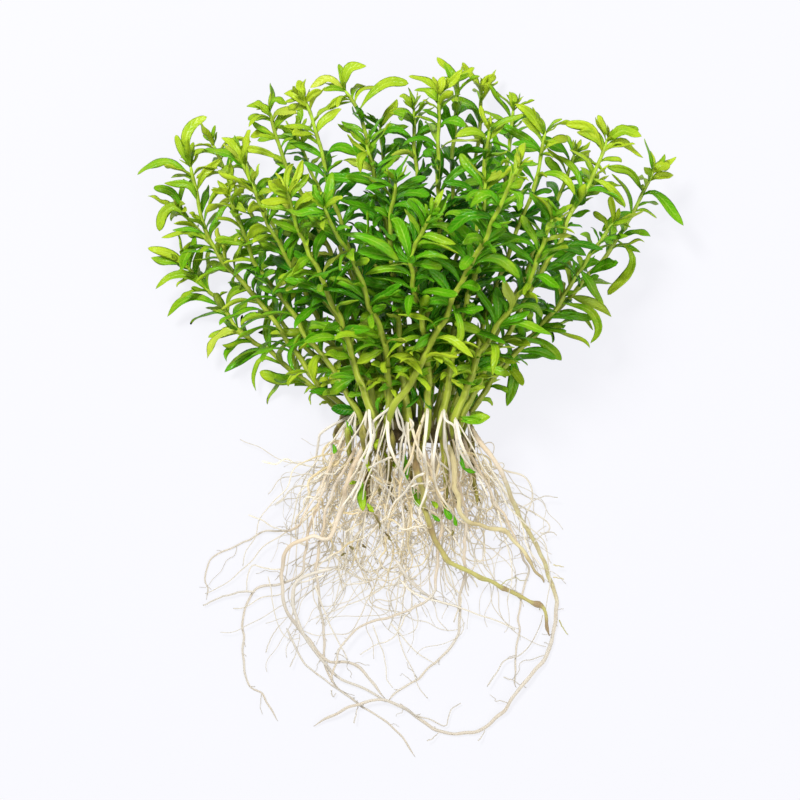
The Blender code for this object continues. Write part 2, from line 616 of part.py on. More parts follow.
def from_crown(flat, foot, radius, crown):
    """The part of a root's route that is outside the crown, with a gap, at the height of its foot."""
    dense = even_curve(flat, 500)
    first = 0
    for i, point in enumerate(dense[:200]):
        where = Vector((point[0], point[1], foot))
        nearest, normal, _, distance = crown[1].find_nearest(where)
        if (where - nearest).dot(normal) < 0 or distance < radius + GAP:
            first = i + 1
    return dense[first:]


def lay_root(spec, solids, crown=None):
    """Places a root's line: it sinks from its foot to the surface, and passes over all that lies there."""
    radius, foot, route = spec
    radius, foot = radius * MM, foot * MM
    flat = np.array([place(x, y, 0.5 * foot if i < 2 else 0.003)[:2] for i, (x, y) in enumerate(route)])
    if crown:
        flat = from_crown(flat, foot, radius, crown)
    length = length_of(flat)
    count = max(6, round(length / ROOT_RING_STEP) + 1)
    rings = even_curve(flat, count)
    fine = 14
    dense = np.vstack([rings[:-1] + (rings[1:] - rings[:-1]) * t / fine for t in range(fine)])
    order = np.argsort(np.concatenate([np.arange(count - 1) + t / fine for t in range(fine)]))
    dense = np.vstack([dense[order], rings[-1:]])
    tangents = np.gradient(dense, axis=0)
    tangents /= np.linalg.norm(tangents, axis=1, keepdims=True)
    across = np.stack([tangents[:, 1], -tangents[:, 0]], axis=1)
    share = np.linspace(0, 1, len(dense))
    radii = radius * (1 - 0.45 * share)
    reach = (radii + GAP)[:, None]
    tops = np.zeros(len(dense))
    for offset in (-1.0, -0.6, -0.2, 0.2, 0.6, 1.0):
        shifted = dense + across * reach * offset
        tops = np.maximum(tops, [top_under(point, solids) for point in shifted])
    need = np.where(tops > 0, tops + GAP, 0.0) + radii
    sunk = (foot - radius) * np.clip(1 - share * length / 0.028, 0, 1) ** 1.5 + radii
    need = np.maximum(need, sunk)
    heights = np.array([need[max(0, (j - 1) * fine):(j + 1) * fine + 1].max() for j in range(count)])
    return np.column_stack([rings, heights]), radii[::fine]


def build_root(name, spec, solids, material, crown=None):
    line, radii = lay_root(spec, solids, crown)
    verts, faces = tube(line, radii, radii, 5)
    make_node(name, verts, faces, material)
    return bounds_of(verts), tree_of(verts, faces)


def build_plant():
    clear_scene()
    crown = build_crown(make_material("crown", CROWN_OLIVE, 0.7))
    lock_material = make_material("root_lock", LOCK_CREAM, 0.6)
    laid = [build_lock(i + 1, route, crown, lock_material) for i, route in enumerate(ROOT_LOCKS)]
    root_material = make_material("root", ROOT_CREAM, 0.5)
    runner_material = make_material("runner", RUNNER_OLIVE, 0.5)
    white_roots = {name: spec for name, spec in ROOTS.items() if "white" in name}
    long_roots = {name: spec for name, spec in ROOTS.items() if "white" not in name}
    for name, spec in long_roots.items():
        laid.append(build_root(name, spec, laid, root_material, crown))
    for name, spec in RUNNERS.items():
        laid.append(build_root(name, spec, laid, runner_material, crown))
    solids = [crown, *laid]
    for name, spec in white_roots.items():
        solids.append(build_root(name, spec, solids, root_material))
    build_shoots(make_material("shoot", LEAF_GREEN, 0.35), solids)


build_plant()
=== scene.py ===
"""The looks of a bare-root bunch of an aquarium stem plant that lies on its side.

Metres, +Z up. +Y runs from the roots to the shoot tips. Each piece stands for one solid of the fixed
frame: a shoot with its leaves, the crown, a root, an old creeping stem or a lock of rootlets.
"""

import logging
import math
import random
from dataclasses import dataclass
from enum import Enum, IntEnum
from typing import Any, Union

import bpy
import numpy as np
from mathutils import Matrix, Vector
from mathutils.bvhtree import BVHTree


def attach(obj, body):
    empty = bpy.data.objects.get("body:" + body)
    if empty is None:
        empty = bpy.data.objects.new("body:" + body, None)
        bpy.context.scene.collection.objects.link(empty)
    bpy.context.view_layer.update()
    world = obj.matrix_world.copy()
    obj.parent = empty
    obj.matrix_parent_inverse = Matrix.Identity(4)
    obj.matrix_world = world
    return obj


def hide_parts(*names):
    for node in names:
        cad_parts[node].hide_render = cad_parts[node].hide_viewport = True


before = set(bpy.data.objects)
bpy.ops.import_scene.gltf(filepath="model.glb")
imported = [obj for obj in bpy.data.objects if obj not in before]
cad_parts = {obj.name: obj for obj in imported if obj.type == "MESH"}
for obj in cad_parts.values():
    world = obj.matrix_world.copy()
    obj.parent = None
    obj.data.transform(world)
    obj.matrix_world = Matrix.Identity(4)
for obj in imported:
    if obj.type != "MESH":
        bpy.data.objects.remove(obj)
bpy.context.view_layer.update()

LOG = logging.getLogger("plant")
MM = 0.001
UP = np.array([0.0, 0.0, 1.0])
DOWN = Vector((0, 0, -1))

Array = np.ndarray
Generator = np.random.Generator
Material = bpy.types.Material
Colour = tuple[float, float, float]
Route = tuple[tuple[int, int], ...]
Number = Union["Wire", float]

# The leafy head: its real width, which gives the scale, and its width and middle in pixels
HEAD_WIDTH = 0.136
HEAD_WIDTH_PIXELS = 544
HEAD_CENTRE = (425, 225)

# How many points a leaf's middle line has, the least height of a point, and how far a root starts up a stem
LEAF_POINTS = 9
ABOVE_FLOOR = 0.03 * MM
INSIDE_STEM = 0.8 * MM

# A share of a root's length past its tip, for a knot or a stretch that the root doesn't have
NOWHERE = 2.0

# Fine roots that start above this row of pixels spring from the stems
CROWN_ROW = 432

# Each shoot: the heights of its foot and tip in millimetres, then its route from foot to tip in pixels
SHOOTS = (
    (4.0, 7.0, ((345, 412), (326, 400), (295, 375), (240, 325), (198, 280), (183, 262))),
    (4.5, 9.0, ((360, 411), (335, 378), (270, 310), (215, 250), (178, 206))),
    (4.0, 10.0, ((377, 410), (350, 365), (290, 270), (240, 195), (212, 142))),
    (4.0, 10.0, ((394, 410), (375, 345), (335, 240), (312, 170), (296, 132))),
    (4.0, 9.0, ((411, 410), (407, 340), (397, 240), (386, 170), (380, 124))),
    (4.0, 9.0, ((428, 410), (438, 340), (462, 240), (475, 160), (482, 88))),
    (4.0, 10.0, ((445, 410), (475, 350), (530, 270), (570, 215), (596, 182))),
    (4.5, 13.0, ((462, 412), (490, 375), (530, 340), (565, 298), (608, 253), (637, 208), (655, 168))),
    (11.0, 23.0, ((350, 411), (320, 385), (290, 345), (258, 300), (228, 268), (205, 225), (190, 163))),
    (11.0, 27.0, ((366, 410), (345, 368), (305, 290), (270, 225), (250, 180), (240, 158))),
    (10.5, 25.0, ((381, 410), (365, 350), (333, 260), (305, 200), (286, 160), (268, 108))),
    (11.0, 24.0, ((397, 410), (390, 340), (380, 230), (372, 160), (358, 110), (343, 87))),
    (10.5, 25.0, ((413, 410), (415, 340), (418, 240), (416, 160), (414, 106))),
    (10.5, 23.0, ((430, 410), (438, 330), (450, 220), (455, 140), (457, 82))),
    (11.0, 25.0, ((447, 410), (466, 340), (492, 240), (507, 165), (514, 106))),
    (10.5, 25.0, ((461, 410), (488, 350), (528, 270), (556, 205), (575, 152))),
    (12.0, 22.0, ((470, 413), (503, 370), (555, 305), (592, 255), (614, 222))),
    (17.0, 38.0, ((357, 410), (332, 370), (290, 310), (252, 255), (228, 192))),
    (17.0, 42.0, ((375, 409), (368, 375), (342, 327), (305, 278), (270, 228), (252, 182))),
    (17.0, 39.0, ((390, 409), (377, 350), (352, 260), (330, 190), (314, 125), (304, 97))),
    (17.0, 45.0, ((405, 409), (399, 340), (388, 250), (376, 180), (366, 142))),
    (17.0, 37.0, ((421, 409), (427, 330), (436, 240), (439, 160), (440, 90))),
    (17.0, 43.0, ((437, 409), (452, 340), (470, 250), (482, 180), (490, 128))),
    (17.0, 39.0, ((453, 409), (478, 340), (512, 250), (534, 180), (546, 130))),
    (17.5, 35.0, ((465, 411), (500, 345), (545, 265), (575, 210), (592, 180), (608, 137))),
    (22.0, 60.0, ((388, 413), (389, 380), (385, 340), (368, 300), (348, 255), (330, 222), (324, 206))),
    (27.0, 66.0, ((396, 402), (415, 375), (440, 330), (455, 298), (470, 262), (492, 222), (520, 165))),
    (22.0, 58.0, ((428, 411), (426, 360), (419, 300), (411, 258), (422, 230), (431, 214))),
    (23.0, 53.0, ((371, 411), (350, 350), (322, 280), (298, 225), (286, 190))),
    (23.0, 50.0, ((457, 411), (486, 345), (522, 290), (543, 245), (553, 216))),
    (22.5, 50.0, ((443, 411), (458, 340), (474, 270), (484, 215), (486, 180))),
    (21.5, 48.0, ((408, 412), (402, 370), (398, 330), (394, 290), (391, 230), (396, 180))),
)

# Leaves whose place and turn are plain to see, each with its shoot, its width in pixels and how far its
# tip stands above its foot in millimetres, then its route from foot to tip
READ_LEAVES = (
    (26, 13, -2, ((325, 212), (310, 211), (296, 214), (285, 210))),
    (26, 9, 3, ((322, 207), (315, 195), (313, 185))),
    (26, 12, -2, ((340, 230), (365, 236), (385, 247), (400, 262))),
    (26, 13, -1, ((369, 303), (385, 298), (400, 296), (427, 309))),
    (26, 10, -3, ((367, 300), (350, 285), (330, 278))),
    (26, 13, -2, ((388, 350), (380, 352), (358, 362))),
    (27, 12, -3, ((493, 220), (485, 216), (465, 218), (440, 238))),
    (27, 13, 2, ((500, 205), (490, 195), (480, 199), (470, 208))),
    (27, 10, 3, ((512, 190), (520, 196), (518, 211))),
    (27, 13, -3, ((470, 262), (455, 246), (440, 242), (420, 247))),
    (27, 13, -3, ((470, 262), (490, 257), (506, 262), (518, 278))),
    (27, 9, -4, ((455, 302), (461, 320), (461, 338), (450, 355))),
    (28, 14, 2, ((410, 262), (406, 242), (398, 222), (391, 220))),
    (28, 15, 0, ((408, 262), (385, 255), (358, 252))),
    (28, 12, -1, ((413, 264), (430, 264), (441, 269))),
    (8, 14, 1, ((653, 172), (660, 166), (670, 165))),
    (8, 12, 2, ((642, 200), (652, 194), (668, 205), (682, 226))),
    (8, 10, 3, ((642, 192), (630, 172), (606, 166))),
    (8, 12, -1, ((635, 210), (620, 216), (603, 231))),
    (8, 13, -2, ((618, 243), (630, 252), (632, 268), (609, 295))),
    (8, 9, 2, ((618, 240), (635, 232), (650, 237))),
    (8, 11, -2, ((600, 260), (588, 262), (575, 272))),
    (8, 14, -2, ((571, 298), (585, 303), (600, 308), (610, 317))),
    (8, 14, -2, ((512, 358), (514, 380), (507, 405))),
    (8, 12, -2, ((536, 335), (547, 345), (562, 361))),
    (25, 12, 3, ((603, 150), (590, 128), (564, 123))),
    (25, 13, 2, ((606, 143), (622, 131), (641, 137))),
    (25, 9, -1, ((603, 152), (620, 141), (643, 158))),
    (25, 9, -2, ((596, 180), (610, 187), (626, 207))),
    (25, 8, 3, ((607, 138), (603, 126), (598, 115))),
    (1, 11, 1, ((190, 270), (172, 255), (148, 248))),
    (1, 10, 0, ((208, 294), (190, 277), (172, 276), (157, 289))),
    (1, 11, -1, ((222, 306), (196, 298), (178, 304), (166, 317))),
    (1, 12, -1, ((255, 340), (232, 330), (215, 340), (208, 358))),
    (1, 14, 0, ((300, 385), (278, 380), (260, 373))),
    (1, 6, -1, ((285, 366), (262, 358), (253, 376), (256, 391))),
    (2, 12, 1, ((195, 226), (175, 206), (163, 214), (160, 231))),
    (2, 9, -1, ((206, 240), (184, 232), (162, 238))),
    (2, 10, 1, ((183, 212), (172, 192), (154, 189))),
    (9, 12, 2, ((191, 168), (186, 140), (193, 124), (207, 117))),
    (9, 12, -1, ((193, 175), (170, 161), (150, 165), (139, 175))),
    (9, 8, 3, ((190, 166), (182, 152), (176, 135))),
    (9, 9, 1, ((198, 200), (188, 184), (165, 184))),
    (9, 10, 2, ((197, 192), (204, 174), (221, 159))),
    (10, 11, 1, ((243, 164), (232, 144), (222, 138))),
    (10, 9, 3, ((241, 160), (246, 142), (250, 130))),
    (10, 12, -1, ((246, 172), (228, 154), (206, 150))),
    (11, 11, 1, ((271, 116), (262, 106), (253, 103))),
    (11, 9, 2, ((269, 110), (276, 100), (287, 104))),
    (11, 10, -1, ((278, 138), (262, 133), (250, 137))),
    (11, 10, 1, ((275, 128), (284, 116), (294, 112))),
    (12, 12, 2, ((344, 88), (350, 68), (366, 67))),
    (12, 10, 0, ((346, 90), (328, 78), (311, 88))),
    (12, 12, 1, ((358, 112), (370, 96), (388, 82), (408, 84))),
    (12, 9, -1, ((350, 100), (332, 106), (315, 115))),
    (20, 10, 1, ((306, 100), (300, 88), (300, 80))),
    (20, 11, 0, ((308, 106), (294, 94), (283, 93))),
    (20, 9, 2, ((307, 104), (314, 94), (322, 90))),
    (13, 11, 2, ((414, 110), (406, 98), (400, 94))),
    (13, 13, 0, ((414, 116), (404, 113), (394, 112))),
    (14, 11, 2, ((456, 86), (450, 72), (444, 62))),
    (14, 10, 1, ((457, 84), (466, 76), (474, 68))),
    (6, 12, 1, ((481, 92), (488, 80), (496, 78))),
    (22, 10, 2, ((440, 96), (442, 84), (443, 77))),
    (22, 10, 0, ((440, 104), (428, 92), (415, 91))),
    (15, 11, 1, ((514, 110), (513, 98), (511, 93))),
    (24, 11, 1, ((544, 136), (530, 114), (515, 104))),
    (24, 10, -1, ((541, 152), (524, 138), (500, 122))),
    (17, 11, -2, ((580, 270), (594, 290), (602, 305))),
    (17, 10, -3, ((560, 300), (590, 310), (599, 330), (591, 343))),
)

# Main roots: radius at the foot and height of the foot in millimetres, then the route from the crown
ROOTS = {
    "root_left_fork": (0.75, 9, ((350, 430), (330, 475), (314, 520), (305, 555), (297, 575), (272, 585),
        (255, 592), (246, 610), (243, 635), (241, 660), (247, 682), (262, 698), (274, 716), (279, 723))),
    "root_left_far": (0.6, 9, ((347, 424), (332, 460), (318, 495), (302, 522), (280, 531), (258, 536),
        (235, 547), (215, 557), (209, 572), (204, 600))),
    "root_bottom": (0.75, 13, ((362, 438), (338, 482), (322, 530), (316, 570), (321, 605), (325, 632),
        (322, 658), (332, 684), (358, 705), (385, 719), (397, 734), (415, 760))),
    "root_left_loop": (1.1, 15, ((366, 440), (350, 475), (343, 510), (330, 535), (308, 535), (288, 548),
        (283, 580), (288, 612), (308, 642), (330, 661), (350, 664), (372, 682), (384, 699))),
    "root_middle_arc": (0.85, 13, ((446, 442), (458, 485), (465, 530), (466, 570), (460, 600), (456, 632),
        (441, 660), (420, 680), (400, 691), (386, 703))),
    "root_centre_arc": (0.8, 13, ((424, 446), (434, 485), (440, 525), (440, 560), (430, 594), (410, 608),
        (385, 617), (360, 632), (341, 646), (334, 662), (330, 682))),
    "root_inner_right": (0.7, 12, ((462, 436), (478, 470), (498, 510), (518, 540), (528, 566), (521, 600),
        (518, 630), (518, 662), (516, 690))),
    "root_right_loop": (1.1, 15, ((470, 426), (480, 443), (500, 470), (517, 512), (535, 545), (550, 575),
        (558, 605), (552, 640), (538, 666), (518, 692), (500, 718), (478, 732), (440, 732), (415, 715),
        (384, 702), (350, 706), (314, 727))),
    "root_white_1": (0.8, 25, ((384, 420), (388, 436), (398, 462), (412, 495), (423, 525))),
    "root_white_2": (0.8, 25, ((431, 420), (424, 438), (424, 462), (425, 490), (420, 512))),
    "root_white_3": (0.7, 26, ((441, 420), (434, 440), (432, 462), (441, 492), (456, 520))),
    "root_white_4": (0.75, 23, ((455, 424), (463, 445), (468, 462), (478, 480), (486, 496))),
    "root_white_5": (0.75, 25, ((376, 420), (369, 445), (360, 475), (352, 492), (344, 508))),
}

# Old creeping stems among the roots, in the same form
RUNNERS = {
    "runner_lower": (0.85, 16, ((412, 448), (418, 480), (426, 515), (435, 536), (455, 562), (485, 579),
        (517, 598), (543, 604), (548, 618), (549, 636))),
    "runner_upper": (0.75, 17, ((448, 444), (455, 480), (464, 514), (487, 527), (515, 545), (535, 565),
        (545, 583))),
}

# Locks of fine rootlets: the routes of their middle lines from the crown, and how loosely each lock hangs
ROOT_LOCKS = (
    (((352, 440), (334, 480), (318, 540), (304, 592)), 0.4),
    (((368, 444), (355, 490), (341, 550), (332, 622)), 0.75),
    (((384, 447), (377, 495), (366, 560), (359, 640)), 1.0),
    (((400, 448), (398, 500), (392, 565), (386, 660)), 1.0),
    (((416, 448), (419, 500), (418, 560), (413, 642)), 1.0),
    (((432, 446), (440, 495), (445, 550), (444, 618)), 1.0),
    (((448, 443), (459, 485), (469, 535), (474, 594)), 0.65),
    (((461, 438), (475, 475), (490, 520), (500, 572)), 0.35),
)

# Fine roots that stand out, each with the solid that its piece stands for, its radius and the heights of
# its foot and tip in millimetres, then its route
FINE_ROOTS = (
    ("root_white_5", 0.36, 27, 14, ((381, 412), (374, 420), (369, 430), (366, 440), (366, 452), (360, 460),
        (355, 468), (352, 475))),
    ("root_white_5", 0.38, 27, 12, ((379, 412), (375, 425), (374, 437), (371, 447), (368, 455), (366, 465),
        (361, 483), (353, 503))),
    ("root_white_5", 0.34, 24, 12, ((392, 457), (380, 462), (370, 467), (358, 473), (348, 480))),
    ("root_white_5", 0.24, 22, 12, ((373, 468), (379, 475), (384, 485))),
    ("root_white_1", 0.30, 27, 16, ((396, 405), (402, 420), (404, 430), (408, 442), (412, 452), (413, 458),
        (409, 467), (407, 475))),
    ("root_white_1", 0.36, 27, 14, ((395, 418), (400, 428), (406, 435), (410, 445), (416, 452),
        (422, 459))),
    ("root_white_1", 0.26, 22, 11, ((371, 475), (378, 482), (386, 488), (392, 494), (397, 500))),
    ("root_white_1", 0.34, 24, 6, ((402, 424), (404, 452), (400, 490), (404, 528), (398, 560))),
    ("root_white_2", 0.28, 26, 18, ((414, 418), (412, 428), (405, 433), (399, 440))),
    ("root_white_2", 0.36, 24, 9, ((424, 473), (415, 478), (408, 488), (400, 497), (393, 505), (387, 520))),
    ("root_white_3", 0.26, 20, 10, ((411, 487), (420, 483), (430, 485), (436, 492), (440, 500),
        (444, 512))),
    ("root_white_3", 0.34, 26, 7, ((436, 424), (446, 448), (452, 482), (462, 512), (470, 540))),
    ("root_white_4", 0.36, 27, 22, ((434, 418), (443, 420), (452, 424), (457, 434), (462, 446),
        (468, 460))),
    ("root_white_4", 0.36, 27, 14, ((445, 424), (444, 440), (447, 455), (450, 468), (454, 480))),
    ("root_white_4", 0.42, 26, 13, ((455, 428), (457, 445), (459, 460), (461, 472), (460, 482))),
    ("root_white_4", 0.28, 22, 12, ((440, 455), (440, 462), (447, 468), (455, 475), (462, 481))),
    ("root_left_far", 0.38, 12, 4, ((324, 420), (320, 435), (317, 450), (314, 470), (312, 480))),
    ("root_left_far", 0.32, 12, 4, ((334, 425), (331, 450), (330, 480), (322, 505))),
    ("root_left_fork", 0.34, 14, 5, ((345, 425), (340, 440), (330, 470), (318, 500))),
    ("root_left_loop", 0.34, 18, 6, ((354, 422), (353, 440), (353, 470), (346, 500))),
    ("root_left_loop", 0.50, 5, 1, ((334, 568), (318, 572), (300, 579), (294, 588), (293, 605), (300, 627),
        (311, 646), (326, 665), (341, 679), (365, 689), (386, 701))),
    ("root_centre_arc", 0.46, 6, 1, ((396, 560), (404, 573), (413, 584), (428, 596), (441, 602),
        (458, 607))),
    ("root_bottom", 0.30, 1, 1, ((286, 628), (296, 648), (306, 665), (325, 680), (345, 694), (362, 707))),
    ("root_right_loop", 0.40, 16, 6, ((470, 420), (470, 440), (478, 470), (486, 500))),
    ("root_lock_1", 0.26, 9, 3, ((262, 461), (275, 464), (285, 459), (295, 463), (315, 467), (328, 468))),
    ("root_lock_1", 0.20, 5, 2, ((248, 515), (262, 520), (272, 527), (282, 530), (300, 541))),
    ("root_lock_1", 0.22, 4, 1, ((282, 569), (270, 569), (260, 567), (254, 565), (249, 570), (247, 580),
        (247, 592))),
    ("root_lock_1", 0.22, 5, 2, ((325, 575), (310, 580), (297, 585), (292, 600), (293, 615))),
    ("root_left_fork", 0.30, 2, 1, ((255, 592), (240, 592), (222, 597), (203, 605))),
    ("root_lock_1", 0.16, 3, 1, ((268, 576), (271, 590), (274, 610), (278, 625), (283, 634), (290, 639),
        (300, 638))),
    ("root_left_fork", 0.16, 1, 1, ((266, 653), (270, 640), (280, 625), (290, 615))),
    ("root_left_loop", 0.16, 2, 1, ((290, 667), (297, 650), (300, 634))),
    ("root_lock_2", 0.24, 4, 1, ((315, 585), (322, 605), (330, 625), (340, 645), (348, 660))),
    ("root_lock_3", 0.18, 3, 1, ((373, 625), (378, 640), (384, 655), (386, 670), (387, 680), (393, 688))),
    ("root_lock_4", 0.20, 3, 1, ((405, 615), (400, 628), (390, 640), (375, 645), (360, 655))),
    ("root_lock_5", 0.18, 3, 1, ((415, 605), (418, 618), (415, 630), (408, 634))),
    ("root_lock_5", 0.20, 3, 1, ((390, 622), (405, 640), (420, 655), (436, 664))),
    ("root_lock_6", 0.28, 5, 2, ((400, 580), (410, 590), (425, 598), (445, 603), (460, 608), (480, 615),
        (500, 622), (515, 630))),
    ("root_inner_right", 0.20, 2, 1, ((487, 687), (497, 672), (505, 660), (520, 655), (530, 645),
        (538, 630), (543, 615))),
    ("root_inner_right", 0.16, 1, 1, ((503, 677), (512, 680), (526, 688))),
    ("root_right_loop", 0.22, 2, 1, ((400, 703), (415, 715), (432, 720), (445, 726), (448, 718), (452, 709),
        (461, 703))),
    ("root_right_loop", 0.16, 2, 1, ((427, 741), (433, 738), (439, 732))),
    ("root_right_loop", 0.16, 2, 1, ((478, 741), (482, 736), (485, 730))),
    ("root_bottom", 0.20, 2, 1, ((354, 723), (356, 714), (358, 706))),
    ("root_bottom", 0.18, 2, 1, ((331, 690), (333, 697), (336, 693))),
    ("root_right_loop", 0.20, 6, 3, ((512, 511), (525, 506), (535, 500), (545, 496), (558, 498))),
    ("root_right_loop", 0.20, 4, 2, ((534, 542), (542, 535), (550, 532), (557, 535))),
    ("runner_upper", 0.18, 3, 2, ((553, 565), (559, 566), (564, 567))),
    ("runner_upper", 0.18, 3, 2, ((553, 577), (559, 578), (564, 579))),
    ("runner_lower", 0.18, 2, 1, ((559, 620), (563, 628), (568, 635))),
    ("root_lock_7", 0.22, 10, 3, ((478, 470), (494, 500), (504, 535), (512, 570), (508, 600))),
    ("root_lock_8", 0.24, 12, 4, ((482, 455), (504, 490), (520, 520), (528, 548), (545, 570))),
)


class Slot(Enum):
    """The record's material slots."""

    LEAF_AND_STEM = "leaf_and_stem"
    CROWN = "crown"
    ROOT = "root"
    RUNNER = "runner"
    ROOT_HAIR = "root_hair"


class Seed(IntEnum):
    """The starting numbers of the random draws. Where things are numbered, their number is added."""

    STEM_RISES = 5
    LEAF_SURFACES = 40
    OLD_STEMS = 71
    BROWN_BITS = 72
    SCRAPS = 73
    SCRAP_SURFACES = 74
    NECK_LEAVES = 75
    NECK_LEAF_SURFACES = 76
    LOCKS = 300
    LEAVES = 500
    STEM_BENDS = 700
    STEM_DRIFT = 800
    LEAF_TURNS = 9000


@dataclass(frozen=True)
class View:
    """The straight-down view in which the routes are read: a camera over the middle of the picture."""

    centre: tuple[int, int] = (400, 400)
    height: float = 0.62
    route_height: float = 0.02
    pixel: float = HEAD_WIDTH / HEAD_WIDTH_PIXELS
    middle: tuple[float, float] = (0.0031, -0.0044)

    def place(self, pixels: Array, heights: Array) -> Array:
        """Finds the points that are seen at pixels.

        A pixel covers less the nearer a point is to the camera, in proportion to its distance.

        Args:
            pixels: x and y in the last axis.
            heights: the height over the surface of each, in metres.

        Returns:
            Points in metres, with x, y and z in the last axis.
        """
        reach = self.pixel * (self.height - heights) / (self.height - self.route_height)
        across = (pixels[..., 0] - self.centre[0]) * reach - self.middle[0]
        along = (self.centre[1] - pixels[..., 1]) * reach - self.middle[1]
        return np.stack([across, along, heights], axis=-1)


VIEW = View()
HEAD_MIDDLE = VIEW.place(np.array(HEAD_CENTRE, float), np.array(20 * MM))
HEAD_HALF = np.array([205, 140]) * VIEW.pixel
STEM_HEIGHTS = MM * np.array([foot for foot, _, _ in SHOOTS])
STEM_FEET, STEM_AHEAD = (
    VIEW.place(np.array([route[k] for _, _, route in SHOOTS], float), STEM_HEIGHTS) for k in (0, 1))
STEM_RISES = np.random.default_rng(Seed.STEM_RISES).uniform(-2.2, 1.4, len(SHOOTS)) * MM


def unit(vectors: Array) -> Array:
    """Scales vectors to length 1."""
    return vectors / np.maximum(np.linalg.norm(vectors, axis=-1, keepdims=True), 1e-12)


def curve(points: Array, shares: Array) -> Array:
    """Follows smooth curves through points.

    A Catmull-Rom spline: each span is a cubic whose slope at a point is half the step between its
    neighbours.

    Args:
        points: the curves' points, with the points in the last axis but one.
        shares: where to read, from 0 at the first point to 1 at the last.

    Returns:
        The points read, in the same axes.
    """
    first = 2 * points[..., :1, :] - points[..., 1:2, :]
    last = 2 * points[..., -1:, :] - points[..., -2:-1, :]
    padded = np.concatenate([first, points, last], axis=-2)
    spans = points.shape[-2] - 1
    where = np.clip(shares, 0, 1) * spans
    span = np.minimum(where.astype(int), spans - 1)
    t = (where - span)[:, None]
    a, b, c, d = (padded[..., span + k, :] for k in range(4))
    return 0.5 * (2 * b + (c - a) * t + (2 * a - 5 * b + 4 * c - d) * t**2 + (3 * b - a - 3 * c + d) * t**3)


def even_curve(points: Any, count: int) -> Array:
    """Reads a smooth curve at even steps of its length.

    Args:
        points: the curve's points.
        count: how many points to read.

    Returns:
        The points read, first to last.
    """
    points = np.asarray(points, float)
    dense = curve(points, np.linspace(0, 1, 24 * (len(points) - 1) + 1))
    travelled = np.concatenate([[0], np.cumsum(np.linalg.norm(np.diff(dense, axis=0), axis=1))])
    steps = np.linspace(0, travelled[-1], count)
    return np.stack([np.interp(steps, travelled, axis) for axis in dense.T], axis=1)


def frames(middle: Array, face: Array) -> tuple[Array, Array]:
    """Finds the sides of lines: the face less its part along the slope, and its cross with the slope.

    Args:
        middle: the lines' points, in the last axis but one.
        face: the way that the lines' upper side looks.

    Returns:
        Unit vectors across and up at each point.
    """
    along = unit(np.gradient(middle, axis=-2))
    up = unit(face - (face * along).sum(axis=-1, keepdims=True) * along)
    return np.cross(up, along), up


def tube(middle: Array, radii: Array, sides: int) -> Array:
    """Lays rings about lines: the point at angle a stands cos a across and sin a up, times the radius.

    Args:
        middle: the lines' points, in the last axis but one.
        radii: the radius at each point.
        sides: how many points a ring has.

    Returns:
        The rings' points, with the ring in the last axis but one.
    """
    across, up = frames(middle, UP)
    angles = 2 * math.pi * np.arange(sides)[:, None] / sides
    spokes = across[..., None, :] * np.cos(angles) + up[..., None, :] * np.sin(angles)
    return middle[..., None, :] + radii[..., None, None] * spokes


def wander(rng: Generator, count: int, shares: Array, waves: tuple[float, ...]) -> Array:
    """Draws smooth random lines: a sum of sine waves, each as high as its wave count is low.

    Args:
        rng: the source of the phases and heights.
        count: how many lines.
        shares: where to read each, from 0 to 1.
        waves: how many times each wave swings.

    Returns:
        One line a row, mostly between -1 and 1.
    """
    total = np.zeros((count, len(shares)))
    for wave in waves:
        phase = rng.uniform(0, 2 * math.pi, (count, 1))
        height = rng.uniform(0.5, 1.0, (count, 1)) / (1 + wave)
        total += height * np.sin(2 * math.pi * wave * shares + phase)
    return total


def bends(rng: Generator, shares: Array, waves: tuple[float, ...], axes: int) -> Array:
    """Draws the bends of one line: a smooth random line for each axis, side by side."""
    return np.stack([wander(rng, 1, shares, waves)[0] for _ in range(axes)], axis=1)


def nearest_foot(points: Array) -> tuple[Array, Array]:
    """Finds where on the nearest stem the roots spring, for each point, and the way that the stem goes up.

    Args:
        points: points in metres, one a row.

    Returns:
        The places on the stems, and unit vectors up the stems.
    """
    nearest = np.linalg.norm(STEM_FEET - points[:, None], axis=-1).argmin(axis=1)
    ways = unit(STEM_AHEAD[nearest] - STEM_FEET[nearest])
    return STEM_FEET[nearest] + ways * STEM_RISES[nearest][:, None], ways


def spring_from_stems(middle: Array, reach: float) -> Array:
    """Bends lines so that each starts inside the foot of the nearest stem.

    The first point moves onto the stem, a little above its foot, and the later ones move ever less.

    Args:
        middle: lines, with the points in the last axis but one.
        reach: the share of a line's length that moves.

    Returns:
        The bent lines.
    """
    feet, ways = nearest_foot(middle[:, 0])
    t = np.linspace(0, 1, middle.shape[1])
    held = np.clip(1 - t / reach, 0, 1)[:, None] ** 1.6
    return middle + (feet + INSIDE_STEM * ways - middle[:, 0])[:, None] * held


def add_object(name: str, data: Any) -> bpy.types.Object:
    """Adds an object to the scene.

    Args:
        name: its name.
        data: its mesh, light or camera.

    Returns:
        The object.
    """
    obj = bpy.data.objects.new(name, data)
    bpy.context.scene.collection.objects.link(obj)
    return obj


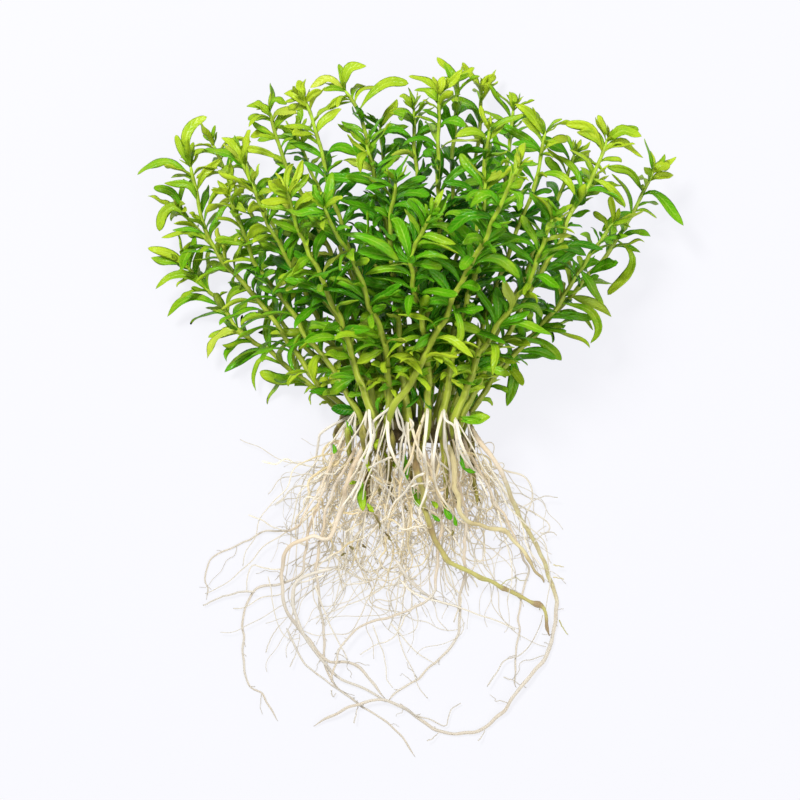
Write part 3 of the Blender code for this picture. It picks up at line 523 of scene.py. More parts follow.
class Piece:
    """A mesh made of closed sweeps, each a row of rings with its two ends capped."""

    VALUES = ("along", "across", "tone", "vary")

    def __init__(self, name: str) -> None:
        """Starts an empty piece with a name.

        Args:
            name: the name of its object and mesh.
        """
        self.name = name
        self.points: list[Array] = []
        self.values: dict[str, list[Array]] = {key: [] for key in self.VALUES}
        self.faces: list[Array] = []
        self.finishes: list[Array] = []
        self.total = 0

    def add(self, rings: Array, finish: int = 0, **values: Any) -> None:
        """Adds sweeps.

        Args:
            rings: points by sweep, ring, place in the ring, and axis.
            finish: which of the piece's materials they take.
            **values: numbers for the materials, spread over the first three axes.
        """
        shape = rings.shape[:3]
        index = self.total + np.arange(np.prod(shape)).reshape(shape)
        beside = np.roll(index, -1, axis=2)
        corners = (index[:, :-1], beside[:, :-1], beside[:, 1:], index[:, 1:])
        quads = np.stack(corners, axis=-1).reshape(-1, 4)
        for faces in (quads, index[:, 0, ::-1], index[:, -1]):
            self.faces.append(faces)
            self.finishes.append(np.full(len(faces), finish))
        self.points.append(rings.reshape(-1, 3))
        for key, rows in self.values.items():
            rows.append(np.broadcast_to(np.asarray(values.get(key, 0.0), float), shape).reshape(-1))
        self.total += int(np.prod(shape))

    def add_tubes(self, middle: Array, radii: Array, sides: int, finish: int = 0, **values: Any) -> None:
        """Adds tubes about lines.

        Args:
            middle: the lines' points, in the last axis but one.
            radii: the radius at each point.
            sides: how many sides a tube has.
            finish: which of the piece's materials they take.
            **values: numbers for the materials, other than the place across.
        """
        self.add(tube(middle, radii, sides), finish, across=np.arange(sides) / sides, **values)

    def build(self, materials: list[Material], slot: Slot, node: str) -> None:
        """Makes the object, lets it ride on the plant, and lets it stand for its solid.

        Args:
            materials: the finishes, in the order in which add names them.
            slot: the record's slot; not used.
            node: the solid of the frame that it replaces.
        """
        mesh = bpy.data.meshes.new(self.name)
        points = np.concatenate(self.points)
        points[:, 2] = np.maximum(points[:, 2], ABOVE_FLOOR)
        mesh.vertices.add(len(points))
        mesh.vertices.foreach_set("co", points.astype(np.float32).ravel())
        corners = np.concatenate([faces.ravel() for faces in self.faces]).astype(np.int32)
        sizes = np.concatenate([np.full(len(faces), faces.shape[1]) for faces in self.faces])
        starts = np.concatenate([[0], np.cumsum(sizes)[:-1]]).astype(np.int32)
        mesh.loops.add(len(corners))
        mesh.loops.foreach_set("vertex_index", corners)
        mesh.polygons.add(len(starts))
        mesh.polygons.foreach_set("loop_start", starts)
        mesh.polygons.foreach_set("material_index", np.concatenate(self.finishes).astype(np.int32))
        for key, rows in self.values.items():
            values = mesh.attributes.new(key, "FLOAT", "POINT")
            values.data.foreach_set("value", np.concatenate(rows).astype(np.float32))
        for material in materials:
            mesh.materials.append(material)
        mesh.update(calc_edges=True)
        mesh.shade_smooth()
        obj = add_object(self.name, mesh)
        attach(obj, "root")
        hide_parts(node)
        LOG.info("%s: %d triangles", self.name, int((sizes - 2).sum()))


class Wire:
    """A socket's value in shader maths."""

    def __init__(self, graph: "Graph", socket: bpy.types.NodeSocket) -> None:
        """Keeps the socket and the graph that it belongs to."""
        self.graph = graph
        self.socket = socket

    def _maths(self, operation: str, first: Number, second: Number) -> "Wire":
        """Adds a Math node."""
        return self.graph.node("ShaderNodeMath", {"operation": operation}, {0: first, 1: second})

    def __add__(self, other: Number) -> "Wire":
        """Adds."""
        return self._maths("ADD", self, other)

    __radd__ = __add__

    def __sub__(self, other: Number) -> "Wire":
        """Subtracts."""
        return self._maths("SUBTRACT", self, other)

    def __rsub__(self, other: Number) -> "Wire":
        """Subtracts this from a number."""
        return self._maths("SUBTRACT", other, self)

    def __mul__(self, other: Number) -> "Wire":
        """Multiplies."""
        return self._maths("MULTIPLY", self, other)

    __rmul__ = __mul__

    def __abs__(self) -> "Wire":
        """Drops the sign."""
        return self._maths("ABSOLUTE", self, 0.0)

    def wave(self) -> "Wire":
        """Takes the sine."""
        return self._maths("SINE", self, 0.0)

    def ramp(self, low: float, high: float) -> "Wire":
        """Goes smoothly from 0 at the low value to 1 at the high one."""
        settings = {"interpolation_type": "SMOOTHSTEP"}
        return self.graph.node("ShaderNodeMapRange", settings, {"Value": self, 1: low, 2: high})


class Graph:
    """A material's nodes, with a Principled shader at the end."""

    def __init__(self, name: str) -> None:
        """Starts a material with a name.

        Args:
            name: the material's name.
        """
        self.material = bpy.data.materials.new(name)
        self.material.use_nodes = True
        self.nodes = self.material.node_tree.nodes
        self.links = self.material.node_tree.links
        self.shader = self.nodes["Principled BSDF"]

    def put(self, socket: bpy.types.NodeSocket, value: Any) -> None:
        """Links a wire to a socket, or sets the socket to a number or colour.

        Args:
            socket: an input of a node.
            value: a wire, a number, or a colour of three numbers.
        """
        if isinstance(value, Wire):
            self.links.new(value.socket, socket)
        elif isinstance(value, tuple) and len(value) == 3 and socket.type == "RGBA":
            socket.default_value = (*value, 1.0)
        else:
            socket.default_value = value

    def node(self, kind: str, settings: dict[str, Any], inputs: dict[Any, Any], output: Any = 0) -> Wire:
        """Adds a node.

        Args:
            kind: the node's type.
            settings: its own settings.
            inputs: values or wires by socket name or number.
            output: which output to hand on.

        Returns:
            The output as a wire.
        """
        made = self.nodes.new(kind)
        for key, value in settings.items():
            setattr(made, key, value)
        for key, value in inputs.items():
            self.put(made.inputs[key], value)
        return Wire(self, made.outputs[output])

    def value(self, name: str) -> Wire:
        """Reads one of the mesh's numbers."""
        return self.node("ShaderNodeAttribute", {"attribute_name": name}, {}, "Fac")

    def place(self) -> Wire:
        """Reads the place on the plant."""
        return self.node("ShaderNodeTexCoord", {}, {}, "Object")

    def noise(self, scale: float, detail: float) -> Wire:
        """Reads a cloudy pattern of about 0.5, from its clouds a metre and its number of finer layers."""
        inputs = {"Vector": self.place(), "Scale": scale, "Detail": detail}
        return self.node("ShaderNodeTexNoise", {}, inputs)

    def blend(self, share: Number, first: Any, second: Any) -> Wire:
        """Goes from the first colour to the second by a share."""
        return self.node("ShaderNodeMix", {"data_type": "RGBA"}, {0: share, 6: first, 7: second}, 2)

    def bump(self, waves: Wire, high: float, fine: Wire, coarse: float, depth: float) -> None:
        """Raises the surface by waves and by fine noise.

        Args:
            waves: waves from -1 to 1.
            high: the share of the depth that they take.
            fine: noise about 0.5.
            coarse: the share of the depth that it takes.
            depth: the depth in metres.
        """
        height = 0.5 + high * waves + coarse * (fine - 0.5)
        normal = self.node("ShaderNodeBump", {}, {"Height": height, "Distance": depth})
        self.put(self.shader.inputs["Normal"], normal)

    def dress(self, **sockets: Any) -> None:
        """Sets the shader's sockets, named with underscores for spaces."""
        for key, value in sockets.items():
            self.put(self.shader.inputs[key.replace("_", " ").title().replace("Ior", "IOR")], value)

    def let_light_through(self, colour: Colour, share: Number) -> None:
        """Mixes a share of light that comes through from behind into the shader.

        Args:
            colour: the colour of that light.
            share: how much of it there is, from 0 to 1.
        """
        thin = self.nodes.new("ShaderNodeBsdfTranslucent")
        thin.inputs["Color"].default_value = (*colour, 1.0)
        both = self.nodes.new("ShaderNodeMixShader")
        self.put(both.inputs[0], share)
        self.links.new(self.shader.outputs[0], both.inputs[1])
        self.links.new(thin.outputs[0], both.inputs[2])
        self.links.new(both.outputs[0], self.nodes["Material Output"].inputs["Surface"])


@dataclass(frozen=True)
class LeafFinish:
    """A smooth, wet leaf: deep green inside the bunch, partly painted shade, and lime at its edge, with a
    pale midrib.
    """

    # The darkest green is partly the leaves' own deep green and partly painted shade for the inside of the
    # bunch.
    deep_and_shaded: Colour = (0.004, 0.115, 0.001)
    middle: Colour = (0.075, 0.310, 0.002)
    lime: Colour = (0.430, 0.560, 0.022)
    yellow: Colour = (0.600, 0.620, 0.080)
    rib: Colour = (0.520, 0.660, 0.090)
    # The margin colour is partly a pale margin and partly a painted rim highlight.
    edge: Colour = (0.300, 0.500, 0.060)
    glow: Colour = (0.380, 0.580, 0.004)

    def material(self) -> Material:
        """Makes the material.

        The green runs with the leaf's tone, clouded by noise; the tone carries painted shade inside the
        bunch.
        The midrib is a narrow band about the middle, and side veins are waves that lean towards the tip.
        The margins are paler, partly their own colour and partly a painted rim highlight. A few old leaves
        are yellow.

        Returns:
            The material.
        """
        g = Graph("leaf")
        along, across, tone, vary = (g.value(key) for key in Piece.VALUES)
        cloud = g.noise(230.0, 2.0)
        fine = g.noise(2600.0, 3.0)
        # The tone carries painted shade: leaves inside the bunch and low in it are darker.
        green = tone + 0.40 * (cloud - 0.5) + 0.18 * (along - 0.45) + 0.14 * (fine - 0.5)
        colour = g.blend(green.ramp(0.02, 0.50), self.deep_and_shaded, self.middle)
        colour = g.blend(green.ramp(0.42, 0.92), colour, self.lime)
        colour = g.blend(vary.ramp(0.93, 0.99) * 0.55, colour, self.yellow)
        side = abs(across)
        veins = (along * 58.0 - side * 9.0 + vary * 6.0).wave()
        rib = (1.0 - side.ramp(0.03, 0.17)) * (1.0 - along.ramp(0.55, 0.95))
        colour = g.blend(rib * (0.12 + 0.30 * green.ramp(0.1, 0.8)), colour, self.rib)
        colour = g.blend(veins.ramp(0.2, 1.0) * 0.08, colour, self.rib)
        # Paler margins: partly the leaf's own margin, partly a painted rim highlight.
        colour = g.blend(side.ramp(0.84, 1.0) * 0.32, colour, self.edge)
        rough = 0.06 + 0.16 * fine + 0.14 * cloud + 0.10 * tone
        g.dress(base_color=colour, roughness=rough, specular_ior_level=0.13)
        g.bump(veins, 0.24, fine, 0.6, 0.00008)
        g.let_light_through(self.glow, 0.05 + 0.21 * green.ramp(0.05, 0.75))
        return g.material


@dataclass(frozen=True)
class StemFinish:
    """A green stem with fine lengthwise streaks, more olive towards its foot."""

    foot: Colour = (0.300, 0.365, 0.034)
    middle: Colour = (0.340, 0.440, 0.030)
    tip: Colour = (0.330, 0.520, 0.025)
    streak: Colour = (0.500, 0.530, 0.110)
    node: Colour = (0.190, 0.230, 0.020)

    def material(self) -> Material:
        """Makes the material: the colour runs with the place along the stem, streaks with the angle.

        Returns:
            The material.
        """
        g = Graph("stem")
        along, across, tone, vary = (g.value(key) for key in Piece.VALUES)
        cloud = g.noise(420.0, 3.0)
        fine = g.noise(3200.0, 2.0)
        colour = g.blend((along + 0.25 * (cloud - 0.5)).ramp(0.0, 0.35), self.foot, self.middle)
        colour = g.blend(along.ramp(0.45, 0.95), colour, self.tip)
        streaks = (across * 25.13 + 5.0 * (cloud - 0.5) + vary * 6.0).wave()
        colour = g.blend(streaks.ramp(0.1, 1.0) * 0.35, colour, self.streak)
        colour = g.blend(tone * 0.6, colour, self.node)
        g.dress(base_color=colour, roughness=0.30 + 0.18 * fine, specular_ior_level=0.28)
        g.bump(streaks, 0.25, fine, 0.5, 0.00008)
        g.let_light_through((0.34, 0.50, 0.05), 0.08)
        return g.material


@dataclass(frozen=True)
class RootFinish:
    """A root: pale, tan in places, with fine lengthwise wrinkles, spots and perhaps an olive stretch."""

    name: str = "root"
    pale: Colour = (0.820, 0.790, 0.720)
    tan: Colour = (0.700, 0.580, 0.420)
    spot: Colour = (0.360, 0.230, 0.100)
    spots: float = 0.35
    # A painted glow: emission in the pale colour that stands in for light scattered through the root.
    painted_glow: float = 0.0
    olive: Colour = (0.520, 0.500, 0.170)
    # Painted shade: the grey that a root takes near the floor, and how much of it.
    floor_shade_grey: Colour = (0.500, 0.475, 0.425)
    floor_shade: float = 0.75

    def material(self) -> Material:
        """Makes the material.

        The tone picks between tan and pale, sparse noise peaks make spots, and painted shade makes it
        greyer near the floor.
        Where the number that varies by root passes 1, the root is olive.

        Returns:
            The material.
        """
        g = Graph(self.name)
        across, tone, vary = (g.value(key) for key in Piece.VALUES[1:])
        cloud = g.noise(150.0, 3.0)
        fine = g.noise(2200.0, 3.0)
        shade = (tone + 0.9 * (cloud - 0.5) + 0.3 * (fine - 0.5)).ramp(0.05, 0.75)
        colour = g.blend(shade, self.tan, self.pale)
        height = g.node("ShaderNodeSeparateXYZ", {}, {0: g.place()}, "Z")
        # Painted shade: greyer towards the floor.
        colour = g.blend((1.0 - height.ramp(0.0015, 0.009)) * self.floor_shade, colour, self.floor_shade_grey)
        colour = g.blend(vary.ramp(1.2, 2.2) * (0.55 + 0.9 * cloud).ramp(0.4, 1.3), colour, self.olive)
        specks = (g.noise(640.0, 2.0) + 0.1 * vary).ramp(0.66, 0.80)
        colour = g.blend(specks * self.spots, colour, self.spot)
        wrinkles = (across * 31.4 + 6.0 * (cloud - 0.5)).wave()
        g.dress(base_color=colour, roughness=0.42 + 0.22 * fine, specular_ior_level=0.35)
        g.bump(wrinkles, 0.2, fine, 0.6, 0.00010)
        # Painted glow: a faint emission in the pale colour.
        g.dress(emission_color=self.pale, emission_strength=self.painted_glow)
        g.let_light_through((0.95, 0.90, 0.80), 0.45)
        return g.material


@dataclass(frozen=True)
class CrownFinish:
    """Old stem feet: brown where the tone is low, olive, and green where it is high."""

    brown: Colour = (0.075, 0.050, 0.012)
    olive: Colour = (0.300, 0.280, 0.045)
    green: Colour = (0.330, 0.400, 0.040)
    pale: Colour = (0.620, 0.560, 0.260)

    def material(self) -> Material:
        """Makes the material: the colour runs with the tone, clouded, with paler lengthwise streaks.

        Returns:
            The material.
        """
        g = Graph("crown")
        along, across, tone, vary = (g.value(key) for key in Piece.VALUES)
        cloud = g.noise(330.0, 4.0)
        fine = g.noise(2400.0, 3.0)
        shade = tone + 0.7 * (cloud - 0.5)
        colour = g.blend(shade.ramp(0.05, 0.45), self.brown, self.olive)
        colour = g.blend(shade.ramp(0.50, 0.90), colour, self.green)
        streaks = (across * 18.85 + 5.0 * cloud + vary * 6.0 + along * 3.0).wave()
        colour = g.blend(streaks.ramp(0.3, 1.0) * 0.25, colour, self.pale)
        g.dress(base_color=colour, roughness=0.45 + 0.25 * fine, specular_ior_level=0.35)
        g.bump(streaks, 0.3, fine, 0.7, 0.00016)
        return g.material


@dataclass
class Leaf:
    """A leaf's plan: where it grows on its stem, its middle line, width, face and colour."""

    at: float
    middle: Array
    width: float
    face: Array
    tone: float = 0.5
    twist: float = 0.0
    sway: float = 0.0


@dataclass(frozen=True)
class LeafShape:
    """The form that all leaves share: widest near the middle, folded along the midrib, thin at the edge."""

    stations: int = 15
    thickness: float = 0.32 * MM
    edge_share: float = 0.45
    fold: float = 0.30
    droop: float = 0.16
    groove: float = 0.10 * MM
    keel: float = 0.16 * MM
    stalk: float = 0.17
    wave: float = 0.06
    ruffle: float = 0.34
    foot_power: tuple[float, float] = (0.80, 1.30)
    tip_power: tuple[float, float] = (0.45, 0.90)
    upper: tuple[float, ...] = (1.0, 0.62, 0.24, 0.0, -0.24, -0.62, -1.0)
    lower: tuple[float, ...] = (-0.55, 0.0, 0.55)

    def add(self, piece: Piece, leaves: list[Leaf], seed: int, finish: int) -> None:
        """Works out the surfaces of many leaves at once, and adds them to a piece.

        The half width at a share u of the length is u to the p times (1 - u) to the q, made 1 at its
        widest, and never less than the stalk's. Across the leaf, at v from -1 to 1, the surface rises with
        the absolute v to the power 1.2, sinks with its fourth power, and is tilted by ruffles that grow
        with v squared. A groove runs above the midrib and a keel below it. Its thickness falls with v
        squared.

        Args:
            piece: where to add them.
            leaves: the leaves' plans.
            seed: the starting number of the small differences.
            finish: which of the piece's materials they take.
        """
        rng = np.random.default_rng(seed)
        count = len(leaves)

        def each(name: str) -> Array:
            """Reads one value of every leaf."""
            return np.array([getattr(leaf, name) for leaf in leaves])

        def draw(low: float, high: float) -> Array:
            """Draws one number for every leaf."""
            return rng.uniform(low, high, (count, 1))

        u = 1 - (1 - np.linspace(0, 1, self.stations)) ** 1.25
        middle = curve(each("middle"), u)
        face = each("face")[:, None, :]
        reach = np.linalg.norm(middle[:, -1] - middle[:, 0], axis=-1)
        sway = each("sway") * reach
        across, up = frames(middle, face)
        wave = self.wave * reach[:, None] * np.sin(math.pi * (draw(1.5, 3) * u)) * u
        middle = middle + across * (sway[:, None] * u**2)[..., None] + up * wave[..., None]
        across, up = frames(middle, face)
        twist = (each("twist")[:, None] * u)[..., None]
        cos, sin = np.cos(twist), np.sin(twist)
        across, up = across * cos + up * sin, up * cos - across * sin
        p = draw(*self.foot_power)
        q = draw(*self.tip_power)
        widest = p / (p + q)
        profile = u**p * (1 - u) ** q / (widest**p * (1 - widest) ** q)
        floor = self.stalk * np.clip((1 - u) / 0.25, 0.12, 1)
        profile = np.maximum(profile, floor) * (1 + 0.05 * wander(rng, count, u, (2.0, 4.3)))
        half = each("width")[:, None] / 2 * profile
        v = np.array([*self.upper, *self.lower])
        top = np.arange(len(v)) < len(self.upper)
        fold = rng.uniform(0.2, 2.0, (count, 1, 1)) * self.fold
        droop = rng.uniform(-0.6, 1.8, (count, 1, 1)) * self.droop
        ruffle = draw(0.0, self.ruffle) * np.sin(2 * math.pi * (draw(1.2, 2.8) * u + draw(0, 1)))
        wide = half[..., None]
        bow = fold * np.abs(v) ** 1.2 - droop * np.abs(v) ** 4
        rise = wide * (bow + ruffle[..., None] * v**2 * np.sign(v))
        thick = np.minimum(self.thickness, 0.5 * wide) * (1 - (1 - self.edge_share) * v**2)
        rib = np.exp(-((v / 0.16) ** 2)) * np.clip((1 - u) * 1.6, 0, 1)[:, None]
        rib = rib * np.clip(wide / MM, 0, 1)
        height = rise + np.where(top, thick / 2 - self.groove * rib, -thick / 2 - self.keel * rib)
        rings = middle[:, :, None] + across[:, :, None] * (wide * v)[..., None]
        rings = rings + up[:, :, None] * height[..., None]
        tone = each("tone")[:, None, None]
        piece.add(rings, finish, along=u[:, None], across=v, tone=np.where(top, tone, tone + 0.10),
                  vary=rng.uniform(0, 1, (count, 1, 1)))


@dataclass
class Shoot:
    """One shoot: a stem that rises from the crown, with leaves in pairs and a rosette at its tip.

    The foot, the tip and the front height are in millimetres, and the route in pixels. Places of leaves
    are counted along the points of the stem's line. The rosette has the shares of the leaf length of its
    two pairs, and a row of the bud has its place, its count, two such shares and its angle in degrees.
    """

    number: int
    foot: float
    tip: float
    route: Route
    points: int = 60
    foot_radius: float = 0.80 * MM
    front_radius: float = 0.98 * MM
    front_height: float = 20.0
    tip_radius: float = 0.42 * MM
    bend: float = 1.5 * MM
    drift: float = 0.35 * MM
    left_out: float = 0.14
    leaf_length: float = 13.4 * MM
    leaf_width: float = 2.4 * MM
    leaf_thickness: float = 0.5 * MM
    sides: int = 9
    rings: int = 84
    foot_step: float = 2.0 * MM
    main_nodes: tuple[int, ...] = (26, 35, 44, 52)
    apart: float = 3
    extra_nodes: tuple[float, ...] = (5, 7.2, 9.4, 11.6, 14, 16.5, 19, 21.5, 30.5, 39.5, 48, 55.5)
    axils: tuple[float, ...] = (26, 30.5, 35, 39.5, 44, 48, 52)
    more_axils: tuple[float, ...] = (23, 28.5, 33, 42)
    rosette_at: int = 58
    rosette: tuple[tuple[float, float], ...] = ((0.45, 0.72), (0.25, 0.45))
    bud: tuple[tuple[float, int, float, float, float], ...] = (
        (56.0, 2, 0.45, 0.85, 125), (58.8, 2, 0.20, 0.38, 45))

    def line(self) -> Array:
        """Works out the stem's middle line, foot to tip.

        It rises faster towards the tip, and sums of sines bend it in between.

        Returns:
            The points.
        """
        flat = even_curve(self.route, self.points)
        share = np.linspace(0, 1, len(flat))
        line = VIEW.place(flat, (self.foot + (self.tip - self.foot) * share**1.15) * MM)
        rng = np.random.default_rng(Seed.STEM_BENDS + self.number)
        bent = bends(rng, share, (1.4, 3.3, 6.0, 9.0), 3)
        return line + self.bend * bent * np.sin(math.pi * share)[:, None] ** 0.6

    def read_leaf(self, line: Array, width: float, rise: float, route: Any, rng: random.Random) -> Leaf:
        """Plans a leaf whose route is read from the view.

        Its foot is moved onto the stem, and it arches in between.

        Args:
            line: the stem's middle line.
            width: its width in pixels.
            rise: how far its tip stands above its foot, in millimetres.
            route: its route in pixels.
            rng: the source of small differences.

        Returns:
            The leaf's plan.
        """
        first = np.array(route[0], float)
        at = self.points // 2
        for _ in range(4):
            start = VIEW.place(first, line[at, 2])
            at = int(np.argmin(np.linalg.norm(line[:, :2] - start[:2], axis=1)))
        flat = even_curve(route, LEAF_POINTS)
        share = np.linspace(0, 1, len(flat))
        heights = line[at, 2] + rise * MM * share + 1.5 * MM * np.sin(math.pi * share)
        middle = VIEW.place(flat, np.maximum(heights, self.leaf_thickness / 2))
        middle += (line[at] - middle[0]) * (1 - share[:, None]) ** 2
        face = unit(np.array([rng.uniform(-0.3, 0.3), rng.uniform(0.0, 0.5), 1.0]))
        return Leaf(at, middle, 0.9 * width * VIEW.pixel, face, twist=rng.uniform(-0.7, 0.7))

    def grown_leaf(self, line: Array, at: float, turn: float, length: float, spread: float) -> Leaf:
        """Plans a leaf that leaves the stem at a turn about it: its angle to the stem grows evenly.

        Args:
            line: the stem's middle line.
            at: the place along it.
            turn: the angle about the stem, from straight up.
            length: the leaf's length.
            spread: the angle to the stem at its tip.

        Returns:
            The leaf's plan.
        """
        steps = np.arange(len(line))
        here, ahead, behind = (
            np.array([np.interp(at + by, steps, axis) for axis in line.T]) for by in (0, 1, -1))
        axis = unit(ahead - behind)
        side = unit(np.cross(axis, UP))
        out = math.cos(turn) * np.cross(side, axis) + math.sin(turn) * side
        opening = np.linspace(math.radians(32), spread, LEAF_POINTS)[:, None]
        moves = (np.cos(opening) * axis + np.sin(opening) * out) * length / (LEAF_POINTS - 1)
        middle = here + np.vstack([np.zeros(3), np.cumsum(moves[1:], axis=0)])
        middle[:, 2] = np.maximum(middle[:, 2], self.leaf_thickness / 2)
        return Leaf(at, middle, self.leaf_width * min(1.0, 1.5 * length / self.leaf_length), axis)

    def leaves(self, line: Array) -> list[Leaf]:
        """Plans all leaves: those read from the view, pairs at the main nodes, a rosette and smaller ones.

        Their tone rises towards the shoot's tip and foot, the edge of the head and its top, so that the
        leaves inside and low in the head carry painted shade.

        Args:
            line: the stem's middle line.

        Returns:
            The leaves' plans.
        """
        own = random.Random(Seed.LEAF_TURNS + self.number)
        read = [self.read_leaf(line, *leaf[1:], own) for leaf in READ_LEAVES if leaf[0] == self.number]
        taken = [leaf.at for leaf in read]
        rng = random.Random(Seed.LEAVES + self.number)
        quarter = rng.choice((0, 1))
        made = []
        for k, at in enumerate(self.main_nodes):
            for half in (0, 1):
                turn = math.pi * half + math.pi / 2 * (k + quarter) + rng.uniform(-0.35, 0.35)
                length = self.leaf_length * rng.uniform(0.85, 1.1) * (1 - 0.12 * k)
                spread = math.radians(rng.uniform(75, 105))
                if all(abs(at - other) > self.apart for other in taken):
                    made.append(self.grown_leaf(line, at, turn, length, spread))
        first = rng.uniform(0, math.pi)
        for quarter_turn in range(4):
            turn = first + math.pi / 2 * quarter_turn + rng.uniform(-0.3, 0.3)
            low, high = self.rosette[quarter_turn % 2]
            length = self.leaf_length * rng.uniform(low, high)
            spread = math.radians(rng.uniform(35, 90))
            made.append(self.grown_leaf(line, self.rosette_at, turn, length, spread))
            made[-1].width *= 0.85
        made += self.between(line, quarter, own)
        for leaf in made:
            lean = np.array([own.uniform(-0.5, 0.5), own.uniform(-0.5, 0.5), own.uniform(0.0, 1.5)])
            leaf.face = unit(leaf.face + lean)
            leaf.twist = own.uniform(-1.6, 1.6)
            leaf.sway = own.uniform(-0.28, 0.28)
            leaf.width *= own.uniform(0.70, 1.22)
        for leaf in read + made:
            share = leaf.at / (self.points - 1)
            place = leaf.middle[LEAF_POINTS // 2 + 1]
            off = (place - HEAD_MIDDLE)[:2] / HEAD_HALF
            out_of_shade = min(1.0, off[0] ** 2 + off[1] ** 2)
            high = min(1.0, max(0.0, (place[2] / MM - 28) / 24))
            low = min(1.0, max(0.0, 1 - share / 0.45))
            # Painted shade: leaves away from the edge of the head and below its top get a lower tone, so a
            # darker green.
            leaf.tone = -0.04 + 0.28 * share**2 + 0.48 * out_of_shade + 0.28 * high + 0.30 * low
            leaf.tone += own.uniform(-0.18, 0.18)
        return read + made

    def between(self, line: Array, quarter: int, rng: random.Random) -> list[Leaf]:
        """Plans the smaller leaves: pairs between the main nodes, pairs in the axils, and the tip's bud.

        Shoots in the middle of the head are fuller.

        Args:
            line: the stem's middle line.
            quarter: whether the main pairs start a quarter turn on.
            rng: the source of lengths and angles.

        Returns:
            The leaves' plans.
        """
        made = []
        fuller = 0.22 * math.exp(-(((self.route[-1][0] - HEAD_CENTRE[0]) / 95) ** 2))
        for k, at in enumerate(self.extra_nodes):
            for half in (0, 1):
                turn = math.pi * half + math.pi / 2 * (k + quarter + 0.5) + rng.uniform(-0.5, 0.5)
                length = self.leaf_length * rng.uniform(0.75, 1.15)
                length = length * min(1, 0.2 + at / 20, 1 - (at - 46) / 30)
                length *= 1 + fuller * (at < 46)
                place = at + rng.uniform(-1.6, 1.6)
                if rng.random() > self.left_out * (1 if at > 20 else 2.2):
                    spread = math.radians(rng.uniform(60, 140))
                    made.append(self.grown_leaf(line, place, turn, length, spread))
        for at in self.axils if fuller < 0.08 else self.axils + self.more_axils:
            first = rng.uniform(0, math.pi)
            for half in (0, 1):
                length = self.leaf_length * rng.uniform(0.45, 1.0) * (1 + fuller) * (1 - 0.3 * at / 60)
                turn = first + math.pi * half + rng.uniform(-0.5, 0.5)
                place = at + rng.uniform(-1.2, 1.8)
                if rng.random() > self.left_out:
                    spread = math.radians(rng.uniform(40, 110))
                    made.append(self.grown_leaf(line, place, turn, length, spread))
        for at, count, low, high, opened in self.bud:
            first = rng.uniform(0, math.pi)
            for k in range(count):
                turn = first + 2 * math.pi * k / count + rng.uniform(-0.5, 0.5)
                length = self.leaf_length * rng.uniform(low, high)
                spread = math.radians(opened * rng.uniform(0.4, 1.0))
                made.append(self.grown_leaf(line, at, turn, length, spread))
        return made

    def stem(self, piece: Piece, line: Array, nodes: list[float], finish: int) -> None:
        """Adds the stem: its radius falls from foot to tip, with a swelling at each node.

        Args:
            piece: where to add it.
            line: its middle line.
            nodes: the places of the leaves.
            finish: which of the piece's materials it takes.
        """
        rng = np.random.default_rng(Seed.STEM_DRIFT + self.number)
        bend = np.linspace(0, 1, 5)[1:, None]
        down = unit(line[0] - line[4]) * (1 - bend) + np.array([0.0, -1.0, -0.6]) * bend
        below = line[0] + np.cumsum(unit(down) * self.foot_step, axis=0)
        count = len(line) + len(below)
        whole = curve(np.vstack([below[::-1], line]), np.linspace(0, 1, self.rings))
        share = np.linspace(-len(below) / (len(line) - 1), 1, self.rings)
        drift = bends(rng, share, (4.0, 7.0, 13.0), 3)
        whole = whole + self.drift * drift * np.clip(1 - share, 0, 1)[:, None] ** 0.5
        swelling = np.exp(-(((share[:, None] * (len(line) - 1) - np.array(nodes)) / 0.55) ** 2)).max(axis=1)
        thick = self.front_radius if self.foot > self.front_height else self.foot_radius
        radii = thick + (self.tip_radius - thick) * np.clip(share, 0, 1) ** 0.65
        ends = np.clip((1 - share) * 40 + 0.25, 0, 1)
        ends = ends * np.clip((share - share[0]) * 0.25 * count + 0.3, 0, 1)
        radii = radii * (1 + 0.18 * swelling) * ends
        old = np.clip(-share * 14, 0, 1)
        piece.add_tubes(whole[None], radii[None], self.sides, finish, along=np.clip(share, 0, 1)[:, None],
                        tone=np.maximum(swelling, 1.3 * old)[:, None], vary=self.number / 7)

    def build(self, shape: LeafShape, leaf: Material, stem: Material) -> None:
        """Builds the shoot.

        Args:
            shape: the form of the leaves.
            leaf: the leaves' finish.
            stem: the stem's finish.
        """
        piece = Piece(f"leafy_shoot_{self.number:02d}")
        line = self.line()
        plans = self.leaves(line)
        self.stem(piece, line, [plan.at for plan in plans if plan.at < self.rosette_at - 1], 1)
        shape.add(piece, plans, Seed.LEAF_SURFACES + self.number, 0)
        piece.build([leaf, stem], Slot.LEAF_AND_STEM, f"shoot_{self.number:02d}")


